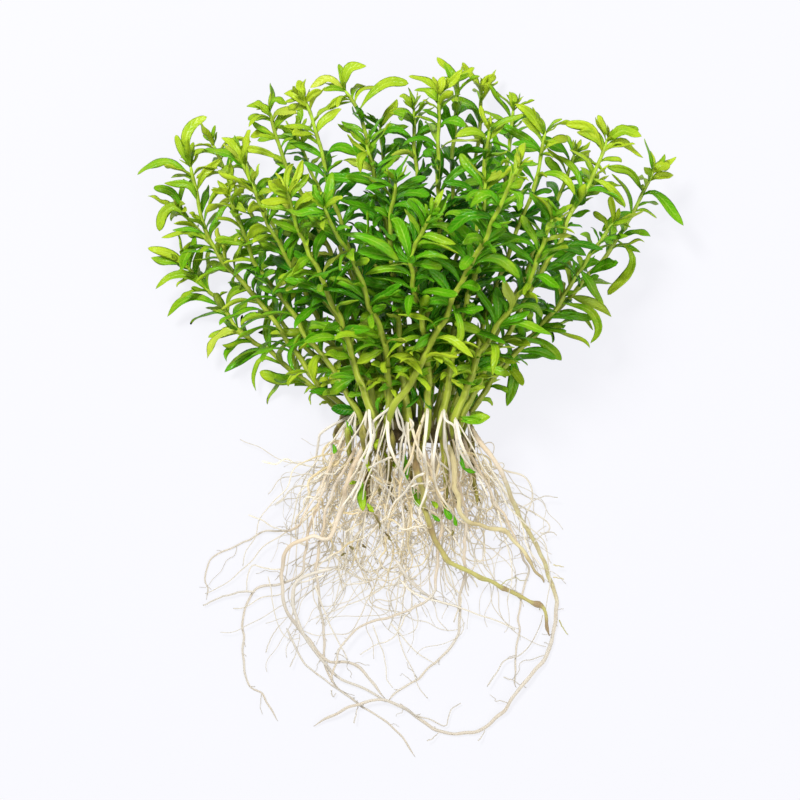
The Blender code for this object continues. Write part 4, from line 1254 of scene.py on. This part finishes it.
@dataclass
class Crown:
    """The crown: a dark lumpy core, old stems that hang from it, small leaves, scraps and brown bits.

    A scrap has its two ends and its width in pixels, and a brown bit its two ends. Scraps that start above
    the upper row of pixels hang at the upper height. The other scraps and the brown bits hang at the lower
    one. Both heights are in millimetres.
    """

    centre: tuple[int, int] = (409, 430)
    height: float = 9.5 * MM
    half_size: tuple[float, float, float] = (13.0 * MM, 3.2 * MM, 7.5 * MM)
    old_stems: int = 34
    neck_leaves: int = 76
    upper_row: int = 470
    upper_height: float = 16
    lower_height: float = 11.5
    scraps: tuple[tuple[int, int, int, int, float], ...] = (
        (362, 481, 363, 511, 9.5), (349, 484, 358, 481, 4.5), (367, 503, 374, 512, 6.0),
        (412, 486, 421, 507, 9.0), (431, 501, 437, 509, 5.0), (430, 513, 440, 521, 4.5),
        (446, 505, 451, 520, 6.5), (454, 515, 457, 526, 4.5), (461, 449, 464, 470, 4.5),
        (463, 468, 476, 472, 5.0), (333, 444, 334, 454, 4.5), (384, 424, 376, 450, 9.0),
        (404, 450, 408, 480, 7.0), (392, 388, 366, 404, 15.0), (398, 470, 384, 452, 6.0),
        (364, 452, 372, 474, 6.0), (366, 404, 378, 420, 12.0), (446, 396, 467, 403, 12.0),
        (450, 407, 468, 409, 10.0), (346, 420, 352, 436, 6.0))
    brown_bits: tuple[tuple[int, int, int, int], ...] = (
        (374, 513, 381, 529), (384, 532, 392, 541), (404, 506, 408, 511), (340, 556, 346, 553),
        (350, 546, 353, 550), (362, 544, 366, 548), (425, 508, 427, 511), (452, 530, 453, 536),
        (379, 487, 380, 493))

    def core(self, piece: Piece) -> None:
        """Adds the core: an ellipsoid pressed towards a box, raised in lumps by products of sines.

        Args:
            piece: where to add it.
        """
        turns = np.linspace(0.02, math.pi - 0.02, 40)[:, None]
        around = np.linspace(0, 2 * math.pi, 56, endpoint=False)
        ball = np.stack(np.broadcast_arrays(
            -np.cos(turns), np.sin(turns) * np.cos(around), np.sin(turns) * np.sin(around)), axis=-1)
        boxed = ball / (np.abs(ball) ** 4).sum(axis=-1, keepdims=True) ** 0.25
        x, y, z = np.moveaxis(ball, -1, 0)
        lumps = np.sin(9 * x + 1) * np.sin(8 * z) + 0.6 * np.sin(13 * x + 5 * y)
        lumps = lumps + 0.5 * np.sin(23 * x + 11 * z)
        middle = VIEW.place(np.array(self.centre, float), np.array(self.height))
        points = middle + boxed * np.array(self.half_size) * (1 + 0.055 * lumps[..., None])
        piece.add(points[None], 0, tone=0.02 + 0.04 * lumps, across=around / 6.28, vary=0.3)

    def feet(self, piece: Piece) -> None:
        """Adds old stems that run down out of the crown into the roots, with swellings at old nodes.

        Args:
            piece: where to add them.
        """
        rng = np.random.default_rng(Seed.OLD_STEMS)
        count = self.old_stems
        t = np.linspace(0, 1, 24)
        x = rng.uniform(342, 474, (count, 1))
        y = rng.uniform(404, 434, (count, 1)) + rng.uniform(24, 96, (count, 1)) * t
        x = x + (x - self.centre[0]) * rng.uniform(-0.25, 0.35, (count, 1)) * t
        x = x + 7 * wander(rng, count, t, (0.6, 1.4)) * t
        high, low = rng.uniform(6, 24, (count, 1)), rng.uniform(1.5, 7, (count, 1))
        z = (low + (high - low) * (1 - t) ** 1.3 + 0.6 * wander(rng, count, t, (1, 2.2))) * MM
        middle = VIEW.place(np.stack([x, y], axis=-1), z)
        swings = rng.uniform(1.5, 4.5, (count, 1)) * t + rng.uniform(0, 1, (count, 1))
        swelling = np.sin(2 * math.pi * swings) ** 8
        radii = rng.uniform(0.45, 1.0, (count, 1)) * MM * (1 - 0.7 * t**2) * (1 + 0.22 * swelling)
        radii = radii * np.clip((1 - t) * 14 + 0.3, 0, 1) * np.clip(t * 8 + 0.3, 0, 1)
        tone = rng.uniform(0.10, 0.95, (count, 1, 1)) * (1 - 0.3 * t[:, None])
        vary = rng.uniform(0, 1, (count, 1, 1))
        piece.add_tubes(middle, radii, 8, along=t[:, None], tone=tone, vary=vary)

    def bits(self, piece: Piece) -> None:
        """Adds the brown bits that are caught in the roots: short crooked rods.

        Args:
            piece: where to add them.
        """
        rng = np.random.default_rng(Seed.BROWN_BITS)
        marks = np.array(self.brown_bits, float)
        t = np.linspace(0, 1, 12)
        flat = marks[:, None, :2] * (1 - t[:, None]) + marks[:, None, 2:] * t[:, None]
        flat[..., 0] += 1.6 * wander(rng, len(marks), t, (0.8, 2.1))
        middle = VIEW.place(flat, np.full(flat.shape[:2], self.lower_height * MM))
        radii = 0.32 * MM * np.sin(math.pi * np.clip(t, 0.06, 0.94)) ** 0.5 * np.ones((len(marks), 1))
        radii = radii * (1 + 0.5 * wander(rng, len(marks), t, (2.0, 4.0)))
        piece.add_tubes(middle, radii, 7, along=t[:, None], tone=0.14, vary=0.4)

    def small_leaves(self, piece: Piece, shape: LeafShape) -> None:
        """Adds small leaves between the feet of the stems, each turned its own way.

        Args:
            piece: where to add them.
            shape: their form.
        """
        rng = random.Random(Seed.NECK_LEAVES)
        plans = []
        for _ in range(self.neck_leaves):
            x, y, z = rng.uniform(346, 470), rng.uniform(372, 422), rng.uniform(4, 25)
            turn = math.pi / 2 + 0.9 * (self.centre[0] - x) / 70 + rng.uniform(-1.3, 1.3)
            length = rng.uniform(4, 11.5) * MM
            u = np.linspace(0, 1, LEAF_POINTS)
            bend = turn + rng.uniform(-0.9, 0.9) * u
            step = np.stack([np.cos(bend), np.sin(bend), rng.uniform(-0.4, 0.6) - 0.5 * u], axis=1)
            foot = VIEW.place(np.array([x, y]), np.array(z * MM))
            middle = foot + np.cumsum(step, axis=0) * length / LEAF_POINTS
            middle[:, 2] = np.maximum(middle[:, 2], 0.5 * MM)
            face = unit(np.array([rng.uniform(-0.8, 0.8), rng.uniform(-0.5, 0.5), 1.0]))
            width = length * rng.uniform(0.2, 0.38)
            plans.append(Leaf(0, middle, width, face, rng.uniform(0.05, 0.8), rng.uniform(-0.9, 0.9)))
        shape.add(piece, plans, Seed.NECK_LEAF_SURFACES, 1)

    def torn(self, piece: Piece, shape: LeafShape) -> None:
        """Adds the scraps of leaf that hang among the roots.

        Args:
            piece: where to add them.
            shape: their form.
        """
        rng = random.Random(Seed.SCRAPS)
        plans = []
        for x, y, to_x, to_y, width in self.scraps:
            halfway = ((x + to_x) / 2 + rng.uniform(-2, 2), (y + to_y) / 2)
            route = even_curve(((x, y), halfway, (to_x, to_y)), LEAF_POINTS)
            height = self.upper_height if y < self.upper_row else self.lower_height
            middle = VIEW.place(route, (height + rng.uniform(-1, 1) * np.linspace(0, 1, LEAF_POINTS)) * MM)
            face = unit(np.array([rng.uniform(-0.5, 0.5), rng.uniform(-0.4, 0.4), 1.0]))
            tone, twist = rng.uniform(0.3, 0.8), rng.uniform(-0.8, 0.8)
            plans.append(Leaf(0, middle, width * VIEW.pixel, face, tone, twist))
        shape.add(piece, plans, Seed.SCRAP_SURFACES, 1)

    def build(self, shape: LeafShape, crown: Material, leaf: Material) -> None:
        """Builds the crown.

        Args:
            shape: the form of the leaves.
            crown: its finish.
            leaf: the finish of the small leaves and the scraps.
        """
        piece = Piece("crown_of_old_stems")
        self.core(piece)
        self.feet(piece)
        self.bits(piece)
        self.small_leaves(piece, shape)
        self.torn(piece, shape)
        piece.build([crown, leaf], Slot.CROWN, "crown")


@dataclass
class Root:
    """A main root or an old creeping stem, with short side roots.

    The knot is a share of its length, and the olive stretch lies between two such shares.
    """

    name: str
    radius: float
    foot: float
    route: Route
    runner: bool = False
    knot: float = NOWHERE
    olive: tuple[float, float] = (NOWHERE, NOWHERE)
    sides: int = 10
    step: float = 0.9 * MM
    side_step: float = 7.5 * MM
    side_points: int = 14
    thinner: float = 0.56
    sink: float = 2.2 * MM
    smoothing: int = 9
    ray_start: float = 0.1
    ray_step: float = 0.00005
    most_levels: int = 12

    @property
    def is_white(self) -> bool:
        """Tells whether it is one of the short white roots in front, which spring from the stems."""
        return "white" in self.name

    def heights(self, flat: Array) -> Array:
        """Reads the height of the root's solid below each point of its route.

        A straight line down meets the solid in pairs of top and bottom. Where the root crosses itself, the
        pair nearest to the last height counts.

        Args:
            flat: points in plan, foot to tip.

        Returns:
            The heights, with stretches off the solid filled in.
        """
        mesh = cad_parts[self.name].data
        corners = [tuple(face.vertices) for face in mesh.polygons]
        tree = BVHTree.FromPolygons([point.co for point in mesh.vertices], corners)
        found = np.full(len(flat), np.nan)
        last = self.foot
        for i, (x, y) in enumerate(flat):
            levels = []
            hit = tree.ray_cast(Vector((x, y, self.ray_start)), DOWN)[0]
            while hit is not None and len(levels) < self.most_levels:
                levels.append(hit.z)
                hit = tree.ray_cast(Vector((x, y, hit.z - self.ray_step)), DOWN)[0]
            middles = [(a + b) / 2 for a, b in zip(levels[::2], levels[1::2])]
            if middles:
                last = min(middles, key=lambda level: abs(level - last))
                found[i] = last
        known = np.flatnonzero(~np.isnan(found))
        return np.interp(np.arange(len(flat)), known, found[known])

    def line(self) -> Array:
        """Works out the middle line at even steps: its route in plan, and its solid's heights, smoothed.

        A white root sinks towards its foot and springs from a stem.

        Returns:
            The points, foot to tip.
        """
        low = np.array([0.5 * self.foot if i < 2 else 3 * MM for i in range(len(self.route))])
        plan = VIEW.place(np.array(self.route, float), low)[:, :2]
        length = np.linalg.norm(np.diff(plan, axis=0), axis=1).sum()
        count = max(16, round(length / self.step))
        flat = even_curve(plan, count)
        heights = self.heights(flat)
        kernel = np.hanning(self.smoothing)
        padded = np.pad(heights, self.smoothing // 2, mode="edge")
        smooth = np.convolve(padded, kernel / kernel.sum(), mode="valid")
        line = np.column_stack([flat, smooth])
        if not self.is_white:
            return line
        line[:, 2] -= self.sink * np.clip(1 - np.arange(count) * self.step / (15 * MM), 0, 1)
        return spring_from_stems(line[None], 0.22)[0]

    def side_roots(self, line: Array, rng: Generator) -> tuple[Array, Array]:
        """Draws side roots: each leaves the root sideways, bends forwards and sinks to the surface.

        Args:
            line: the root's middle line.
            rng: the source of places and lengths.

        Returns:
            The side roots' lines, and their radii.
        """
        length = len(line) * self.step
        count = max(3, round(length / self.side_step))
        at = rng.integers(len(line) // 8, len(line) - 2, count)
        ahead = unit(line[np.minimum(at + 2, len(line) - 1)] - line[at - 2])
        side = np.cross(ahead, UP) * rng.choice((-1, 1), (count, 1))
        reach = (0.8 + 9 * rng.uniform(0, 1, (count, 1)) ** 3) * MM
        t = np.linspace(0, 1, self.side_points)
        bend = rng.uniform(-0.4, 1.6, (count, 1, 1))
        sideways = side[:, None] * (t[:, None] - 0.25 * bend * t[:, None] ** 2)
        middle = line[at][:, None] + reach[:, None] * (sideways + ahead[:, None] * bend * t[:, None] ** 1.6)
        for axis in (0, 1):
            middle[..., axis] += 0.22 * reach * wander(rng, count, t, (0.7, 1.6, 3.1)) * t
        sunk = middle[..., 2] * (1 - 0.7 * t) + rng.uniform(0, 0.6, (count, 1)) * MM * t
        middle[..., 2] = np.maximum(sunk, 0.2 * MM)
        radii = rng.uniform(0.09, 0.17, (count, 1)) * MM * (1 - 0.45 * t)
        return middle, radii

    def build(self, finish: Material) -> None:
        """Builds the root with its bumps, its side roots and the fine roots beside it.

        Args:
            finish: its finish.
        """
        seed = sum(ord(letter) * (i + 1) for i, letter in enumerate(self.name))
        rng = np.random.default_rng(seed)
        piece = Piece(f"{self.name}_live")
        line = self.line()
        share = np.linspace(0, 1, len(line))
        waves = (0.8, 1.7) if self.is_white else tuple(len(line) / n for n in (6.0, 9.0, 17.0, 34.0))
        sway = (0.9 if self.is_white else 2.2) * MM
        line[:, :2] += sway * bends(rng, share, waves, 2) * np.clip(share * 5, 0, 1)[:, None]
        bumps = 0
        for n in (3.3, 6.1, 11.0, 23.0):
            height = rng.uniform(0.3, 1.0)
            bumps = bumps + height * np.sin(2 * math.pi * (len(line) / n * share + rng.uniform(0, 1)))
        taper = (1 - 0.45 * share) * np.clip((1 - share) * 22 + 0.25, 0, 1)
        taper = taper * np.clip(share * 30 + 0.3, 0, 1)
        radii = (0.9 if self.runner else self.thinner) * self.radius * taper * (1 + 0.06 * bumps)
        if self.runner:
            knot = np.exp(-(((share - self.knot) / 0.016) ** 2))
            nodes = np.abs(np.sin(math.pi * len(line) * self.step / (8.5 * MM) * share)) ** 14
            radii *= 1 + 0.30 * nodes + 0.9 * knot
        usual = 0.60 if self.runner or self.is_white else 0.22
        tone = usual + 0.20 * np.sin(2 * math.pi * (3 * share + rng.uniform(0, 1)))
        if self.runner:
            tone -= 0.9 * np.clip((share - 0.88) / 0.08, 0, 1) + 0.9 * knot + 0.3 * nodes
        first, last = self.olive
        olive = np.clip((share - first) * 16, 0, 1) * np.clip((last - share) * 16, 0, 1)
        vary = rng.uniform(0, 1) * (1 - olive) + 2.4 * olive
        piece.add_tubes(line[None], radii[None], self.sides, tone=tone[:, None], vary=vary[:, None])
        middle, thin = self.side_roots(line, rng)
        piece.add_tubes(middle, thin, 5, tone=rng.uniform(0.35, 0.9, (len(middle), 1, 1)), vary=0.5)
        add_fine_roots(piece, self.name, rng)
        piece.build([finish], Slot.RUNNER if self.runner else Slot.ROOT, self.name)


def add_fine_roots(piece: Piece, owner: str, rng: Generator) -> None:
    """Adds the fine roots that stand out and belong to a solid.

    Args:
        piece: where to add them.
        owner: the solid's name.
        rng: the source of small differences.
    """
    t = np.linspace(0, 1, 30)
    for name, radius, foot, tip, route in FINE_ROOTS:
        if name == owner:
            flat = even_curve(route, len(t))
            heights = (tip + (foot - tip) * (1 - t) ** 1.6) * MM
            middle = VIEW.place(flat, np.maximum(heights, radius * MM))
            if route[0][1] < CROWN_ROW:
                middle = spring_from_stems(middle[None], 0.25)[0]
            middle[:, :2] += 0.25 * MM * bends(rng, t, (2, 4, 7), 2)
            radii = radius * MM * (1 - 0.4 * t) * (1 + 0.06 * wander(rng, 1, t, (5, 9))[0])
            radii = radii * np.clip(t * 20 + 0.3, 0, 1)
            tone, vary = rng.uniform(0.6, 1.0), rng.uniform(0, 1)
            piece.add_tubes(middle[None], radii[None], 7, tone=tone, vary=vary)


@dataclass(frozen=True)
class Strands:
    """A kind of rootlet: how many a lock has, and the ranges that each is drawn from.

    Starts are shares of the lock's length, lengths and radii are in millimetres, turn, sway and curl are
    in radians, and the lift is how far above its place in the lock it starts, in millimetres.
    """

    count: int
    start: tuple[float, float]
    length: tuple[float, float]
    turn: float
    sway: tuple[float, float]
    curl: float
    radius: tuple[float, float]
    lift: tuple[float, float]
    rings: int
    sides: int = 5


@dataclass
class RootLock:
    """A lock of fine rootlets that run together from the crown and fray towards the tip.

    The looser it is, the more its strands turn and curl.
    """

    number: int
    route: Route
    loose: float = 1.0
    half_width: float = 2.9 * MM
    foot_half_height: float = 5.0 * MM
    tip_half_height: float = 0.9 * MM
    kinds: tuple[Strands, ...] = (
        Strands(16, (0.0, 0.16), (15, 48), 0.8, (0.4, 1.0), 1.8, (0.12, 0.42), (0, 8), 44),
        Strands(4, (0.25, 0.60), (28, 52), 0.8, (0.3, 0.7), 1.6, (0.14, 0.26), (0, 3), 44),
        Strands(4, (-0.16, -0.04), (22, 56), 0.35, (0.15, 0.4), 0.7, (0.20, 0.40), (9, 16), 40, 6),
        Strands(7, (0.08, 0.50), (6, 18), 2.2, (0.3, 0.7), 1.6, (0.12, 0.34), (0, 9), 30),
        Strands(28, (0.0, 0.55), (3, 12), 1.4, (0.8, 2.0), 1.9, (0.07, 0.14), (0, 7), 14, 4),
        Strands(9, (0.05, 0.65), (12, 34), 1.2, (0.4, 0.9), 3.2, (0.10, 0.28), (0, 5), 40),
    )

    def draw(self, rng: Generator, kind: Strands) -> tuple[Array, Array]:
        """Draws strands of one kind.

        A strand starts in its own share of the lock's width and height. Its heading is the lock's own, plus
        a slow curl and a sum of waves, and its line adds up even steps along that heading.

        Args:
            rng: the source of shares and waves.
            kind: the ranges to draw from.

        Returns:
            The strands' lines and radii.
        """
        count = kind.count
        plan = VIEW.place(np.array(self.route, float), np.full(len(self.route), 6 * MM))[:, :2]
        grid = np.linspace(0, 1, 60)
        whole = even_curve(plan, len(grid))
        long = np.linalg.norm(np.diff(whole, axis=0), axis=1).sum()
        slope = unit(np.gradient(whole, axis=0))
        headings = np.unwrap(np.arctan2(slope[:, 1], slope[:, 0]))
        t = np.linspace(0, 1, kind.rings)
        start = rng.uniform(*kind.start, (count, 1))
        length = rng.uniform(*kind.length, (count, 1)) * MM
        s = start + length / long * t
        heading = np.interp(np.clip(s, 0, 1), grid, headings)
        turn, curl = self.loose * kind.turn, self.loose * kind.curl
        heading = heading + turn * rng.uniform(-1, 1, (count, 1))
        heading = heading + curl * rng.uniform(-1, 1, (count, 1)) * t
        sway = rng.uniform(*kind.sway, (count, 1))
        heading = heading + sway * wander(rng, count, t, (0.7, 1.6, 3.1, 5.5)) * 2.2
        foot = np.stack([np.interp(np.clip(start[:, 0], 0, 1), grid, axis) for axis in whole.T], axis=1)
        before = np.minimum(start, 0) * long
        side = np.stack([-slope[0, 1], slope[0, 0]])
        own = rng.uniform(-1, 1, (count, 1))
        foot = foot + slope[0] * before + side * own * self.half_width * (1 + np.clip(start, 0, 1))
        step = length / (kind.rings - 1)
        moves = np.stack([np.cos(heading), np.sin(heading)], axis=-1) * step[..., None]
        flat = foot[:, None] + np.cumsum(moves, axis=1) - moves[:, :1]
        tall = self.foot_half_height * np.clip(1 - s, 0, 1) ** 1.6 + self.tip_half_height
        high = tall * (1 + rng.uniform(-1, 1, (count, 1))) + 0.5 * MM * wander(rng, count, t, (1.0, 2.4))
        fall = rng.uniform(8, 24, (count, 1)) * MM
        high = high + rng.uniform(*kind.lift, (count, 1)) * MM * np.exp(-((t * length / fall) ** 1.6))
        thin, thick = kind.radius
        radii = (thin + (thick - thin) * rng.uniform(0, 1, (count, 1)) ** 2) * MM * (1 - 0.45 * t)
        radii = radii * (1 + 0.08 * wander(rng, count, t, (6, 9)))
        middle = np.concatenate([flat, np.maximum(high, 0.22 * MM)[..., None]], axis=-1)
        if kind.lift[0] > 0:
            middle = spring_from_stems(middle, 0.3)
        return middle, radii * np.clip(t * 20 + 0.3, 0, 1)

    def build(self, finish: Material) -> None:
        """Builds the lock.

        Args:
            finish: its finish.
        """
        rng = np.random.default_rng(Seed.LOCKS + self.number)
        piece = Piece(f"rootlets_{self.number}")
        for kind in self.kinds:
            middle, radii = self.draw(rng, kind)
            share = np.linspace(0, 1, kind.rings)[:, None]
            golden = np.exp(-((share / 0.34) ** 2)) * (kind.lift[0] == 0)
            tone = rng.uniform(0.3, 1.0, (kind.count, 1, 1)) - 0.6 * golden
            vary = rng.uniform(0, 1, (kind.count, 1, 1)) + 1.6 * golden
            piece.add_tubes(middle, radii, kind.sides, tone=tone, vary=vary)
        name = f"root_lock_{self.number}"
        add_fine_roots(piece, name, rng)
        piece.build([finish], Slot.ROOT_HAIR, name)


@dataclass(frozen=True)
class Studio:
    """A pale floor, soft light and the camera that looks straight down."""

    floor_size: float = 3.0
    frame_width: float = 0.2
    sensor: float = 36.0
    floor_colour: Colour = (0.07, 0.07, 0.07)
    floor_light: Colour = (0.825, 0.825, 0.870)
    world_light: float = 0.32

    def floor(self) -> None:
        """Lays the floor just below the plant."""
        half = self.floor_size / 2
        mesh = bpy.data.meshes.new("floor")
        corners = [(-half, -half, 0), (half, -half, 0), (half, half, 0), (-half, half, 0)]
        mesh.from_pydata(corners, [], [(0, 1, 2, 3)])
        g = Graph("floor")
        g.dress(base_color=self.floor_colour, roughness=0.9, specular_ior_level=0.1,
                emission_color=self.floor_light, emission_strength=1.0)
        mesh.materials.append(g.material)
        obj = add_object("floor", mesh)

    def light(self, name: str, place: tuple[float, float, float], size: float, power: float) -> None:
        """Hangs a square light that looks at the middle of the plant.

        Args:
            name: its name.
            place: where it hangs.
            size: the length of its side.
            power: its power in watts.
        """
        lamp = bpy.data.lights.new(name, "AREA")
        lamp.size = size
        lamp.energy = power
        obj = add_object(name, lamp)
        obj.location = place
        obj.rotation_euler = (-Vector(place)).to_track_quat("-Z", "Y").to_euler()

    def camera(self) -> None:
        """Hangs the camera over the middle of the picture, with its upper edge towards +Y."""
        lens = bpy.data.cameras.new("camera")
        lens.sensor_width = self.sensor
        lens.lens = self.sensor * (VIEW.height - VIEW.route_height) / self.frame_width
        lens.clip_start = 0.01
        obj = add_object("camera", lens)
        obj.location = (-VIEW.middle[0], -VIEW.middle[1], VIEW.height)
        bpy.context.scene.camera = obj

    def build(self) -> None:
        """Sets up the floor, the lights, the world and the camera."""
        self.floor()
        self.light("key light", (-0.35, 0.45, 0.85), 0.22, 13.5)
        self.light("fill light", (0.55, -0.25, 0.8), 0.9, 8.0)
        world = bpy.data.worlds.new("studio")
        world.use_nodes = True
        sky = world.node_tree.nodes["Background"]
        sky.inputs["Color"].default_value = (1.0, 1.0, 1.0, 1.0)
        sky.inputs["Strength"].default_value = self.world_light
        bpy.context.scene.world = world
        bpy.context.scene.view_settings.view_transform = "Standard"
        self.camera()


@dataclass
class Plant:
    """The whole bunch."""

    shape: LeafShape = LeafShape()
    olive_root: str = "root_right_loop"
    olive: tuple[float, float] = (0.09, 0.40)
    knotted_runner: str = "runner_lower"
    knot: float = 0.86

    def build(self) -> None:
        """Builds the shoots, the crown, the roots, the old creeping stems and the locks of rootlets."""
        leaf, stem = LeafFinish().material(), StemFinish().material()
        for i, plan in enumerate(SHOOTS):
            Shoot(i + 1, *plan).build(self.shape, leaf, stem)
        Crown().build(self.shape, CrownFinish().material(), leaf)
        self.roots()
        self.runners()
        self.locks()

    def roots(self) -> None:
        """Builds the main roots: white ones in front, and pale ones in long loops, one partly olive."""
        pale = RootFinish().material()
        # The white roots get a faint painted glow.
        white = RootFinish("white_root", (0.91, 0.88, 0.79), (0.84, 0.74, 0.53), painted_glow=0.03).material()
        for name, (radius, foot, route) in ROOTS.items():
            root = Root(name, radius * MM, foot * MM, route)
            if name == self.olive_root:
                root.olive = self.olive
            root.build(white if root.is_white else pale)

    def runners(self) -> None:
        """Builds the old creeping stems: an olive one with a brown knot, and one the colour of straw."""
        yellow, brown, dark = (0.48, 0.47, 0.09), (0.24, 0.15, 0.04), (0.16, 0.08, 0.02)
        olive = RootFinish("runner", yellow, brown, dark, 0.7, floor_shade=0.0).material()
        light, tan = (0.70, 0.63, 0.34), (0.50, 0.40, 0.17)
        straw = RootFinish("pale_runner", light, tan, brown, 0.4, floor_shade=0.1).material()
        for name, (radius, foot, route) in RUNNERS.items():
            runner = Root(name, radius * MM, foot * MM, route, runner=True)
            if name == self.knotted_runner:
                runner.knot = self.knot
            runner.build(olive if name == self.knotted_runner else straw)

    def locks(self) -> None:
        """Builds the locks of rootlets, which are golden near the crown."""
        cream, tan, brown = (0.97, 0.93, 0.80), (0.84, 0.69, 0.40), (0.46, 0.32, 0.14)
        gold = (0.60, 0.50, 0.20)
        # The rootlets get a painted glow.
        hair = RootFinish("rootlet", cream, tan, brown, 0.25, painted_glow=0.12, olive=gold).material()
        for i, (route, loose) in enumerate(ROOT_LOCKS):
            RootLock(i + 1, route, loose).build(hair)


def main() -> None:
    """Builds the plant and the studio, and logs each piece's triangle count."""
    logging.basicConfig(level=logging.INFO, format="%(message)s")
    Plant().build()
    Studio().build()


if __name__ == "__main__":
    main()
